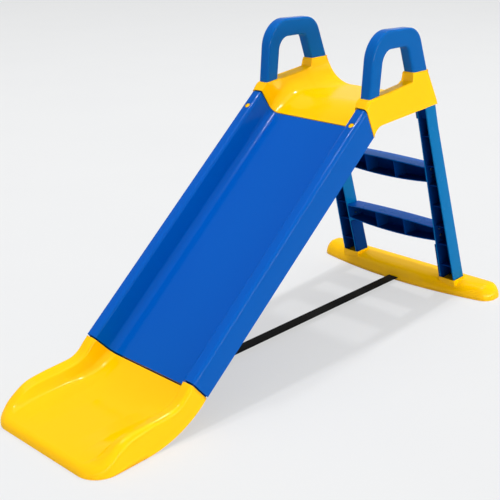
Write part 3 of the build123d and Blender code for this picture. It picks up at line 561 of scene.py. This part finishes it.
right_half = lip_point(across, rise)
tray = np.concatenate([right_half * [1, -1, 1], right_half[:, -2::-1]], axis=1)
upper_edge = np.concatenate([tray[:-1, 0], tray[-1], tray[-2::-1, -1]])
left_foot = lip_point(-half_width[:, None], foot_height[:, None])[:, 0]
front_foot = tray[-1] * [1, 1, 0]
lower_edge = np.concatenate([left_foot[:-1], front_foot, (left_foot * [1, -1, 1])[-2::-1]])
lip_sides = curtain(upper_edge, lower_edge, 6)
sloped = np.nonzero(left_foot[:, 0] >= lip_foot_end - lip_overrun)[0]
spread = np.linspace(-1, 1, 24)[:, None]
lip_underside = left_foot[sloped][:, None] * np.array([1, 0, 1]) - np.array([0, 1, 0]) * (
    left_foot[sloped][:, None, 1:2] * spread)
seam_foot_line = tray[0] * [0, 1, 0] + left_foot[0] * [1, 0, 1]
lip_bulkhead = curtain(tray[0], seam_foot_line, 4)
exit_lip = moulding("exit_lip_moulding", [tray, lip_sides, lip_underside, lip_bulkhead], "slide",
                    slide_yellow, thickness=skin, crease=50.0)
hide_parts("exit_lip")

# Lip fixings: the tongue that lies under the chute's floor and the block that the strap is clamped to,
# both moulded with the lip in the same yellow.
fit_gap = 0.3
tongue_half = 104.0
tongue_start, tongue_end = 0.6, 49.0
tongue_top = -chute_floor_depth - skin - fit_gap
tongue_thickness = 5.0
tongue_round = 0.8
block_low, block_high = (-452.0, -26.0), (-429.0, 26.0)
block_foot, block_top = 20.0, 32.0
block_round = 3.0


def prism(outline, low, high, axis):
    """A solid bar: a closed outline carried straight between two levels of an axis and shut at both
    ends by a fan to its middle. The outline holds the other two axes in X, Y, Z order."""
    loop = np.concatenate([outline, outline[:1]])
    middle = np.broadcast_to(np.asarray(outline).mean(0), loop.shape)
    rows = np.stack([middle, loop, loop, middle])
    levels = np.array([low, low, high, high], float)[:, None]
    return np.insert(rows, axis, levels, axis=-1)


def frame_of(low, high, radius, steps=5):
    """A rectangle between two corners with all its corners rounded, as a closed outline."""
    low, high = np.asarray(low, float), np.asarray(high, float)
    start = np.array([(low[0] + high[0]) / 2, low[1]])
    loop = [start, [high[0], low[1]], high, [low[0], high[1]], low, start]
    return rounded(loop, radius, steps)[:-1]


tongue_outline = frame_of((tongue_start, tongue_top - tongue_thickness), (tongue_end, tongue_top),
                          tongue_round, 3)
tongue_outline = lower_seam + tongue_outline[:, :1] * along + tongue_outline[:, 1:] * square
tongue = prism(tongue_outline, -tongue_half, tongue_half, 1)
lip_block = prism(frame_of(block_low, block_high, block_round), block_foot, block_top, 2)
moulding("lip_fixings", [tongue, lip_block], "slide", slide_yellow, edge=0.8)

# Platform: a yellow saddle seat between two side walls, one moulded skin. The walls round over to narrow
# ridges, their skirts hang outside the ladder rails, and the back leans like the ladder.
upper_seam = lower_seam + along * chute_length
seat_height = 595.08
seat_turn = 165.0
seat_overrun = 5.0
seat_end = 480.0
ridge_line = np.array([[140.0, 589.0], [150.95, 608.95], [166.0, 630.0], [216.3, 636.0],
                       [345.0, 650.0], [348.5, 672.079], [410.3, 672.079], [470.0, 672.079]])
ridge_rounds = [6.0, 22.0, 30.0, 1.5, 2.5, 1.0]
collar_stations = [344.4, 345.0, 345.8, 347.0, 348.2, 348.9, 350.2]
platform_gap = 1.6
seam_lean_run = 70.0
rear_lean_run = 60.0
platform_rear = np.array([455.811, 579.579])
platform_rear_lean = -0.4919
seam_lean = (square[0] + seam_tilt * along[0]) / (square[1] + seam_tilt * along[1])
skirt_front = np.array([218.311, 563.079])
skirt_turn = 33.96
skirt_arc_ends = (168.0, 94.0)
skirt_overrun = 10.0
skirt_least = 12.0
skirt_round = 25.0
platform_front_half = 182.5
platform_rear_half = 186.0
skirt_bend = 585.379
ridge_lean = 8.5 / 86.7
ridge_set_in = 0.3
ridge_inner = 145.0
ridge_inner_run = 16.0
saddle_half = 131.0
saddle_round = 54.0
bowl_run = 110.0
ridge_round = 3.0
ridge_outer_round = 4.0
ridge_round_limit = 0.4
step_up_run = 30.0
shoulder_start = np.array([216.3, 636.0])
shoulder_slope = 0.108
shoulder_drop = 6.0
shoulder_inset = 1.5
shoulder_round = 4.0
seam_shoulder = 0.9
seam_shoulder_round = 0.5
dip_front, dip_front_run = 212.0, 24.0
dip_rear, dip_rear_run = 343.0, 20.0
dip_depth = 4.0
dip_set_out = 2.0
dip_shoulder_drop = 9.0
dip_round = 4.0


def corner_rows(*corners):
    """A row of corners for each station, from every corner's two coordinates along the stations."""
    return np.stack([np.stack(corner, axis=1) for corner in corners], axis=1)


reference = upper_seam[1]
rear_reference = platform_rear[0] + platform_rear_lean * (reference - platform_rear[1])
place = np.linspace(upper_seam[0] + platform_gap, rear_reference, 60)
place = np.sort(np.concatenate([place, collar_stations]))
from_seam = ramped(place, upper_seam[0], seam_lean_run)
from_rear = ramped(-place, -rear_reference, rear_lean_run)
lean = seam_lean * (1 - from_seam) ** 2 + platform_rear_lean * (1 - from_rear) ** 2
origin = np.stack([place, np.full(len(place), reference)], axis=1)
heading = np.stack([lean, np.ones(len(place))], axis=1)
ridge = rounded(ridge_line, ridge_rounds, 8)
seam_seat = upper_seam - square * chute_floor_depth - along * chute_floor_depth * seam_tilt
seat_corner = seam_seat + along * (seat_height - seam_seat[1]) / along[1]
seat_line = rounded([seam_seat - along * seat_overrun, seat_corner, [seat_end, seat_height]], [seat_turn], 40)
skirt_slope = (platform_rear - skirt_front) / np.linalg.norm(platform_rear - skirt_front)
skirt_centre = skirt_front + skirt_turn * np.array([skirt_slope[1], -skirt_slope[0]])
skirt_angle = np.radians(np.linspace(*skirt_arc_ends, 24))
skirt_arc = skirt_centre + skirt_turn * np.stack([np.cos(skirt_angle), np.sin(skirt_angle)], axis=1)
skirt_line = np.concatenate([skirt_arc, [skirt_front, platform_rear + skirt_overrun * skirt_slope]])
ridge_z = reference + crossing(origin, heading, ridge)
seat_z = reference + crossing(origin, heading, seat_line)
skirt_z = reference + crossing(origin, heading, skirt_line)
share = (place - place[0]) / (place[-1] - place[0])
half = mixed(platform_front_half, platform_rear_half, share)
blend = eased(from_seam)
ridge_half = np.minimum(half - ridge_set_in, platform_rear_half - (ridge_z - skirt_bend) * ridge_lean)
step_up = seam_step * (1 - ramped(place, place[0], step_up_run)) ** 2
bowl = eased(ramped(place, upper_seam[0], bowl_run))
inner_half = mixed(rail_inner_edge, ridge_inner, ramped(place, upper_seam[0], ridge_inner_run))
seat_half = mixed(chute_floor_half, saddle_half, bowl)
half, ridge_half = half + step_up / 2, ridge_half + step_up / 2
inner_half, seat_half = inner_half - step_up, seat_half - step_up / 2
ridge_z, seat_z = ridge_z + step_up, seat_z + step_up
shoulder_line = shoulder_start[1] + (place - shoulder_start[0]) * shoulder_slope
shoulder_z = np.minimum(ridge_z, shoulder_line) - shoulder_drop * blend
wall_share = (shoulder_z - seat_z) / (ridge_z - seat_z)
shoulder_half = mixed(seat_half, inner_half, wall_share)
shoulder_half = mixed(shoulder_half, inner_half - shoulder_inset, blend)
seam_shoulder_z = seam_shoulder * ridge_z + (1 - seam_shoulder) * seat_z
seam_shoulder_half = seam_shoulder * inner_half + (1 - seam_shoulder) * seat_half
shoulder_z = np.where(blend > 0, shoulder_z, seam_shoulder_z)
shoulder_half = np.where(blend > 0, shoulder_half, seam_shoulder_half)
dip = eased(ramped(place, dip_front, dip_front_run) * ramped(-place, -dip_rear, dip_rear_run))
inner_z = ridge_z - dip_depth * dip
inner_half = inner_half + dip_set_out * dip
shoulder_z = shoulder_z - dip_shoulder_drop * dip
wall_section = corner_rows(
    (half, skirt_z),
    (half, np.maximum(skirt_bend, skirt_z + skirt_least)),
    (ridge_half, ridge_z),
    (inner_half, inner_z),
    (shoulder_half, shoulder_z),
    (seat_half, seat_z),
    (0 * seat_z, seat_z),
)
inner_round = np.minimum(mixed(rail_round, ridge_round, blend),
                         ridge_round_limit * (inner_z - shoulder_z))
wall_radii = np.stack([
    np.full(len(place), skirt_round),
    mixed(rail_round, ridge_outer_round, blend),
    inner_round + dip_round * dip,
    shoulder_round * blend + seam_shoulder_round,
    mixed(chute_floor_round, saddle_round, bowl),
], axis=1)
wall_section = rounded(wall_section, wall_radii, 12)
seat_run = between(wall_section[:, -2], wall_section[:, -1], 8)
wall_section = np.concatenate([wall_section[:, :-1], seat_run, wall_section[:, -1:]], axis=1)
across, rise = wall_section[..., 0], wall_section[..., 1]
right_half = np.stack([place[:, None] + lean[:, None] * (rise - reference), across, rise], axis=-1)
saddle = np.concatenate([right_half * [1, -1, 1], right_half[:, -2::-1]], axis=1)
back_foot = saddle[-1] * [0, 1, 0] + saddle[-1, 0] * [1, 0, 1]
platform_back = curtain(saddle[-1], back_foot, 4)
platform = moulding("platform_moulding", [saddle, platform_back], "slide",
                    slide_yellow, thickness=skin, edge=1.6)
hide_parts("platform")

# Hinge lugs and catch arms: ears inside each skirt that the ladder's pins go through, and open trays that
# reach under the chute's rails and hold the catch springs. All are moulded in the platform's yellow.
pivot = np.array([414.811, 606.079])
lug_radius = 12.5
lug_top = np.array([411.6, 616.0])
lug_top_radius = 8.0
lug_split = 0.05
lug_layers = ((145.7, 149.7), (178.3, 181.5))
arm_low, arm_high = -43.3, 2.0
arm_near, arm_far = 153.3, 178.7
arm_start, arm_end = 684.0, 752.0
arm_round = 0.8
arm_plates = (
    ((arm_start, arm_low), (arm_end, arm_low + skin), arm_near, arm_far),
    ((arm_start, arm_low), (arm_end, arm_high), arm_near, arm_near + skin),
    ((arm_start, arm_low), (arm_end, arm_high), arm_far - skin, arm_far),
    ((arm_start, arm_low), (arm_start + skin, arm_high), arm_near, arm_far),
)
around = np.linspace(0, 2 * np.pi, 33)[:-1]
circle = np.stack([np.cos(around), np.sin(around)], axis=1)
lug_outline = np.where(circle[:, 1:] > lug_split,
                       lug_top + lug_top_radius * circle, pivot + lug_radius * circle)
lug_sheets = []
for side in (-1, 1):
    for near, far in lug_layers:
        lug_sheets.append(prism(lug_outline, side * near, side * far, 1))
    for low, high, near, far in arm_plates:
        plate = prism(frame_of(low, high, arm_round, 3), side * near, side * far, 1)
        lug_sheets.append(on_slope(plate[..., 0], plate[..., 2], plate[..., 1]))
moulding("platform_lugs", lug_sheets, "slide", slide_yellow, edge=0.6)

# Handles: two blue grab handles, solid mouldings with an upright front leg, a leaning rear leg and a rounded
# top. Each is plugged into the platform and held from below by two screws.
handle_inner = 146.5
handle_outer = 176.5
handle_edge = 6.0
handle_arc = 16
outer_corners = [[170.75, 625.0], [181.8, 787.079], [364.0, 781.5], [420.5, 655.2]]
inner_corners = [[211.6, 625.0], [221.6, 739.08], [322.0, 739.08], [357.0, 655.2]]
outer_rounds = [72.0, 58.0]
inner_rounds = [35.0, 20.0]
sides = ((-1, "left"), (1, "right"))
grip_middle = (handle_inner + handle_outer) / 2
grip_half = (handle_outer - handle_inner) / 2


def handle_line(corners, rounds):
    """A handle's line in side view: two arcs, with even points on the three straight runs beside them."""
    line = rounded(corners, rounds, handle_arc)
    front, rear = line[1:1 + handle_arc], line[1 + handle_arc:-1]
    return np.concatenate([line[:1], between(line[0], front[0], 4), front, between(front[-1], rear[0], 6),
                           rear, between(rear[-1], line[-1], 4), line[-1:]])


def grip(side):
    """A handle: between matching points of its inner and outer lines stands a rounded box section, so
    a point is the middle of the two lines plus its share of the gap, at its own place across."""
    outer = handle_line(outer_corners, outer_rounds)
    inner = handle_line(inner_corners, inner_rounds)
    gap = np.linalg.norm(outer - inner, axis=1)
    wide, deep = gap / 2, np.full(len(gap), grip_half)
    loop = corner_rows((0 * gap, -deep), (wide, -deep), (wide, deep),
                       (-wide, deep), (-wide, -deep), (0 * gap, -deep))
    loop = rounded(loop, handle_edge, 9)
    heading = (outer - inner) / gap[:, None]
    middle = (outer + inner) / 2
    flat = middle[:, None] + loop[..., :1] * heading[:, None]
    return np.stack([flat[..., 0], side * grip_middle + loop[..., 1], flat[..., 1]], axis=-1)


def shut(rows):
    """A tube of rows with a fan to its middle added at each end."""
    first = np.broadcast_to(rows[0, :-1].mean(0), rows[0].shape)
    last = np.broadcast_to(rows[-1, :-1].mean(0), rows[-1].shape)
    return np.concatenate([first[None], rows, last[None]])


handle_blue = glossy_plastic("handle_blue", linear(0, 88, 172), linear(0, 93, 178), blue_tint, 0.17, 0.05)
for side, name in sides:
    handle = moulding("handle_" + name + "_grip", [shut(grip(side))], "slide", handle_blue)
    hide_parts("handle_" + name)

# Ladder rails: two blue channels, open to the front and stiffened by cross ribs, that spread towards the floor.
# Each stands in a collar of the foot bar and turns above on a pin in the platform. Their outsides are a
# lighter, greener blue than the chute, painted light for the strong light on their sides, and their insides and
# ribs are in painted shade.
bar_x = 638.411
ladder_lean = 0.35492
rail_inner = 146.5
rail_recess = 150.5
rail_bottom = 16.0
rail_top = 576.58
rail_straight = 514.08
rail_wall = 3.0
rail_foot_depth = 53.4
rail_depth_loss = 6.4
rail_depth_rise = 606.08
rail_top_outer = 180.5
rail_spread = 17.5
rail_back_rounds = [3.0, 4.0]
rib_heights = np.array([87.0, 158.0, 216.0, 280.25, 344.5, 402.5, 489.5])
rib_thickness = 2.5
rib_setback = 6.0
recess_foot = 155.0
recess_top = 540.1
foot_plate = 4.0
plate_setback = 0.5
plate_tuck = 1.0
plate_round = 1.0
tang_height = 554.58
tang_angle = 70.46
tang_top_radius = 18.5
tang_foot_radius = 15.5
tang_inner, tang_outer = 150.0, 178.0


def rail_depth(height):
    """Depth of the rails from front to back, which shrinks evenly upwards."""
    return rail_foot_depth - rail_depth_loss * height / rail_depth_rise


def rail_front(height):
    """X of the rails' open front: the leaning centre line less half the depth."""
    return bar_x - height * ladder_lean - rail_depth(height) / 2


def rail_back(height):
    """X of the rails' back: the leaning centre line plus half the depth."""
    return bar_x - height * ladder_lean + rail_depth(height) / 2


def rail_outer(height):
    """Outer face of the rails: straight down from the platform, then spreading towards the floor."""
    return rail_top_outer + rail_spread * np.clip((rail_straight - height) / rail_straight, 0, 1)


def cheek(low, high, side):
    """A plate on a rail's inner face between two heights: the rail's side outline there, carried across."""
    ends = np.array([low, high])
    front, back = rail_front(ends), rail_back(ends)
    outline = np.array([[front[0], low], [back[0], low], [back[1], high], [front[1], high]])
    return prism(outline, side * rail_inner, side * rail_recess, 1)


# Painted light: the rails' blue is lighter and greener than the chute's, standing in for the strong light that
# falls on their sides.
painted_light_ladder_blue = glossy_plastic("painted_light_ladder_blue", linear(0, 107, 178), linear(0, 112, 184), blue_tint, 0.24, 0.03)
tang_foot = np.array([bar_x - tang_height * ladder_lean, tang_height])
tang_up = np.cos(around - np.radians(tang_angle) - np.pi / 2)[:, None] > 0
tang_outline = np.where(tang_up, pivot + tang_top_radius * circle, tang_foot + tang_foot_radius * circle)
heights = np.concatenate([np.linspace(rail_bottom, rail_straight, 20), [recess_top, rail_top]])
plate_sizes = [(rail_bottom, foot_plate, plate_setback), (rail_top - rail_wall, rail_wall, plate_setback)]
plate_sizes += [(height, rib_thickness, rib_setback) for height in rib_heights]
for side, name in sides:
    front, back, outer = rail_front(heights), rail_back(heights), rail_outer(heights)
    inner = np.full(len(heights), rail_recess)
    corners = corner_rows((front, inner), (back, inner), (back, outer), (front, outer))
    plan = rounded(corners, rail_back_rounds, 6)
    channel = np.stack([plan[..., 0], side * plan[..., 1],
                        np.broadcast_to(heights[:, None], plan.shape[:2])], axis=-1)
    # Painted shade: the channel's inner faces, and the ribs below, take the darker blue that stands in for the
    # shade inside it.
    rail = moulding("ladder_rail_" + name + "_channel", [channel], "ladder",
                    painted_light_ladder_blue, thickness=rail_wall, edge=0.8, inside=painted_shade_blue)
    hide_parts("ladder_rail_" + name)
    plates = [cheek(rail_bottom, recess_foot, side), cheek(recess_top, rail_top, side),
              prism(tang_outline, side * tang_inner, side * tang_outer, 1)]
    for height, thick, setback in plate_sizes:
        reach = (side * (rail_recess + plate_tuck), side * (rail_outer(height) - plate_tuck))
        low = (rail_front(height) + setback, min(reach))
        high = (rail_back(height) - plate_tuck, max(reach))
        plates.append(prism(frame_of(low, high, plate_round, 3), height, height + thick, 2))
    moulding("ladder_rail_" + name + "_ribs", plates, "ladder", painted_shade_blue, edge=0.6)

# Steps: two blue treads between the rails, each a box open to the front, with a crowned top, a bowed
# lower edge and two upright ribs. Screws through the rails hold their ends.
step_half = 150.5
step_height = 48.0
step_bow = 10.0
step_crown = 3.0
step_depth = 58.0
step_rib_place = 48.0
step_rib = 2.5
step_rounds = [6.0, 5.0]
tread_heights = {"lower": 216.0, "upper": 402.5}
web_setback = 0.8
web_tuck = 1.0


def set_across(side_view, place):
    """Outlines in side view, each set at its own place across."""
    across = np.broadcast_to(place[:, None], side_view.shape[:2])
    return np.stack([side_view[..., 0], across, side_view[..., 1]], axis=-1)


step_blue = glossy_plastic("step_blue", linear(0, 80, 166), linear(0, 86, 174), blue_tint, 0.28, 0.035)
for name, tread in tread_heights.items():
    place = np.linspace(-step_half, step_half, 41)
    bow = 1 - (place / step_half) ** 2
    top = tread - step_crown * (1 - bow)
    foot = tread - step_height - step_bow * bow
    corners = corner_rows((rail_front(top), top), (rail_front(top) + step_depth, top),
                          (rail_front(foot) + step_depth, foot), (rail_front(foot), foot))
    tread_skin = set_across(rounded(corners, step_rounds, 7), place)
    # Painted shade: the tread's inner faces, and its ribs below, take the darker blue that stands in for the
    # shade inside the box.
    step = moulding("step_" + name + "_tread", [tread_skin], "ladder", step_blue,
                    thickness=skin, edge=0.8, inside=painted_shade_blue)
    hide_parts("step_" + name)
    webs = []
    for middle, thick in ((-step_rib_place, step_rib), (step_rib_place, step_rib),
                          (-step_half + skin / 2, skin), (step_half - skin / 2, skin)):
        bow = 1 - (middle / step_half) ** 2
        high = tread - step_crown * (1 - bow) - web_tuck
        low = tread - step_height - step_bow * bow + web_tuck
        web_depth = step_depth - web_tuck
        outline = np.array([[rail_front(low) + web_setback, low], [rail_front(low) + web_depth, low],
                            [rail_front(high) + web_depth, high], [rail_front(high) + web_setback, high]])
        webs.append(prism(outline, middle - thick / 2, middle + thick / 2, 1))
    moulding("step_" + name + "_ribs", webs, "ladder", painted_shade_blue, edge=0.6)

# Foot bar: a yellow domed bar that stands on the floor, hollow below, with a bowed front edge and rounded
# ends. A raised collar round each rail's foot is moulded with it.
bar_half_length = 300.0
bar_half_depth = 58.5
bar_bow = 40.0
bar_end_round = 30.0
bar_round = 32.0
bar_foot_edge = 10.0
bar_least_side = 1.0
bar_end_lean = 0.2
collar_height = 47.0
collar_wall = 4.0
collar_foot = 24.0
collar_inside_foot = 20.0
collar_clearance = 0.4
collar_round = 1.0

end_turn = np.radians(np.linspace(0, 90, 16))
end_run = bar_round * (1 - np.cos(end_turn))
end_wall = bar_half_length - bar_end_lean
middle_run = np.linspace(bar_round - end_wall, end_wall - bar_round, 43)[1:-1]
place = np.concatenate([end_run - end_wall, middle_run, end_wall - end_run[::-1]])
from_end = end_wall - np.abs(place)
bar_top = bar_foot_edge + np.sqrt(bar_round ** 2 - np.maximum(bar_round - from_end, 0) ** 2)
pull = bar_end_round - np.sqrt(bar_end_round ** 2 - np.maximum(bar_end_round - from_end, 0) ** 2)
bar_front = bar_x - bar_half_depth + bar_bow * (place / bar_half_length) ** 2 + pull
bar_back = bar_x + bar_half_depth - pull
corners = corner_rows((bar_front, 0 * place), (bar_front, bar_top),
                      (bar_back, bar_top), (bar_back, 0 * place))
bar_rounds = np.minimum(bar_round, bar_top - bar_least_side)[:, None]
bar_rows = set_across(rounded(corners, np.concatenate([bar_rounds, bar_rounds], axis=1), 12), place)
lean_out = np.array([0, bar_end_lean, 0])
first_foot = bar_rows[:1] * [1, 1, 0] - lean_out
last_foot = bar_rows[-1:] * [1, 1, 0] + lean_out
bar_rows = np.concatenate([first_foot, bar_rows, last_foot])
foot_bar = moulding("foot_bar_moulding", [bar_rows], "ladder", slide_yellow,
                    thickness=skin, crease=60.0)
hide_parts("foot_bar")

collar_rows = ((collar_foot, collar_wall), (collar_height, collar_wall),
               (collar_height, collar_clearance), (collar_inside_foot, collar_clearance))
collars = []
for side in (-1, 1):
    rims = []
    for height, grow in collar_rows:
        reach = (side * (rail_inner - grow), side * (rail_outer(height) + grow))
        low = (rail_front(height) - grow, min(reach))
        high = (rail_back(height) + grow, max(reach))
        plan = frame_of(low, high, collar_round + grow)
        loop = np.concatenate([plan, plan[:1]])
        rims.append(np.concatenate([loop, np.full((len(loop), 1), height)], axis=1))
    collars.append(np.stack(rims))
moulding("foot_bar_collars", collars, "ladder", slide_yellow, edge=1.2)

# Strap: black woven webbing, pulled taut from the foot bar to the lip. Its weave is in the material: ribs
# along the strap, crossed by rows of weft.
strap_foot = np.array([bar_x, 0.0, 9.5])
strap_lip = np.array([-441.911, 0.0, 19.0])
strap_half_width = 16.0
strap_half_thickness = 1.0
strap_tail = 16.0
strap_edge = 0.8

strap_line = strap_lip - strap_foot
strap_length = np.linalg.norm(strap_line)
strap_line = strap_line / strap_length
strap_up = np.array([strap_line[2], 0.0, -strap_line[0]])
strap_corner = np.array([strap_half_width, strap_half_thickness])
strap_section = frame_of(-strap_corner, strap_corner, strap_edge, 4)
strap_section = np.concatenate([strap_section, strap_section[:1]])
run = np.linspace(-strap_tail, strap_length + strap_tail, 181)[:, None, None]
strap_rows = strap_foot + run * strap_line + strap_section[:, 1:] * strap_up
strap_rows = strap_rows + strap_section[:, :1] * np.array([0.0, 1.0, 0.0])
webbing, tree, shader = blank_material("black_webbing", Roughness=0.75, Specular_IOR_Level=0.1)
ribs = texture(tree, "ShaderNodeTexWave", wave_type="BANDS", bands_direction="Y", Scale=150.0, Distortion=0.6)
weft = texture(tree, "ShaderNodeTexWave", wave_type="BANDS", bands_direction="X", Scale=110.0, Distortion=0.4)
weave = node(tree, "ShaderNodeMath", operation="MULTIPLY")
weave_bump = node(tree, "ShaderNodeBump", Strength=0.6, Distance=0.0005)
tone_by(tree, weave.outputs[0], linear(4, 4, 4), linear(20, 20, 18))
wire(tree,
     (ribs, "Fac", weave, 0),
     (weft, "Fac", weave, 1),
     (weave, 0, weave_bump, "Height"),
     (weave_bump, "Normal", shader, "Normal"))
strap = moulding("strap_webbing", [shut(strap_rows)], "ladder", webbing)
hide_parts("strap")
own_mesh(strap)

# Catch buttons: yellow flanged studs that show in the chute's rail tops and press down on their springs.
# Their domed heads sit a little below the crown.
button_radius = 7.0
button_crown, button_shoulder = 5.0, 4.6
flange_radius = 9.0
flange_top, flange_foot = -2.0, -5.0
button_corners = [[0, button_crown], [button_radius, button_shoulder], [button_radius, flange_top],
                  [flange_radius, flange_top], [flange_radius, flange_foot], [0, flange_foot]]
button_rounds = [1.6, 0.3, 0.4, 0.4]
button_profile = rounded(button_corners, button_rounds, 6)
for side, name in sides:
    stud = moulding("catch_button_" + name + "_stud", [turned(button_profile, side)], "catch_" + name,
                    slide_yellow)
    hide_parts("catch_button_" + name)

# Small hardware: steel pins, springs and screws, and the two dark plates that clamp the strap's ends. They
# keep their solid shapes and get a finish each.
steel, tree, shader = blank_material("zinc_steel", Metallic=1.0)
plating = texture(tree, "ShaderNodeTexNoise", Scale=320.0, Detail=4.0)
rough = node(tree, "ShaderNodeMapRange", To_Min=0.25, To_Max=0.45)
tone_by(tree, plating.outputs["Fac"], linear(150, 152, 156), linear(196, 198, 200))
wire(tree,
     (plating, "Fac", rough, "Value"),
     (rough, "Result", shader, "Roughness"))
dark_plastic = glossy_plastic("clamp_black", linear(24, 24, 26), linear(36, 36, 38),
                              linear(200, 200, 200), 0.45, 0.02)
steel_nodes = ("hinge_pin_left", "hinge_pin_right", "catch_spring_left", "catch_spring_right", "handle_screws",
               "step_screws", "foot_screws", "lip_screws", "strap_screws_foot", "strap_screws_lip")
hardware = dict.fromkeys(steel_nodes, steel)
hardware |= dict.fromkeys(("strap_clamp_foot", "strap_clamp_lip"), dark_plastic)
for name, finish in hardware.items():
    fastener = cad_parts[name]
    fastener.data.materials.clear()
    fastener.data.materials.append(finish)
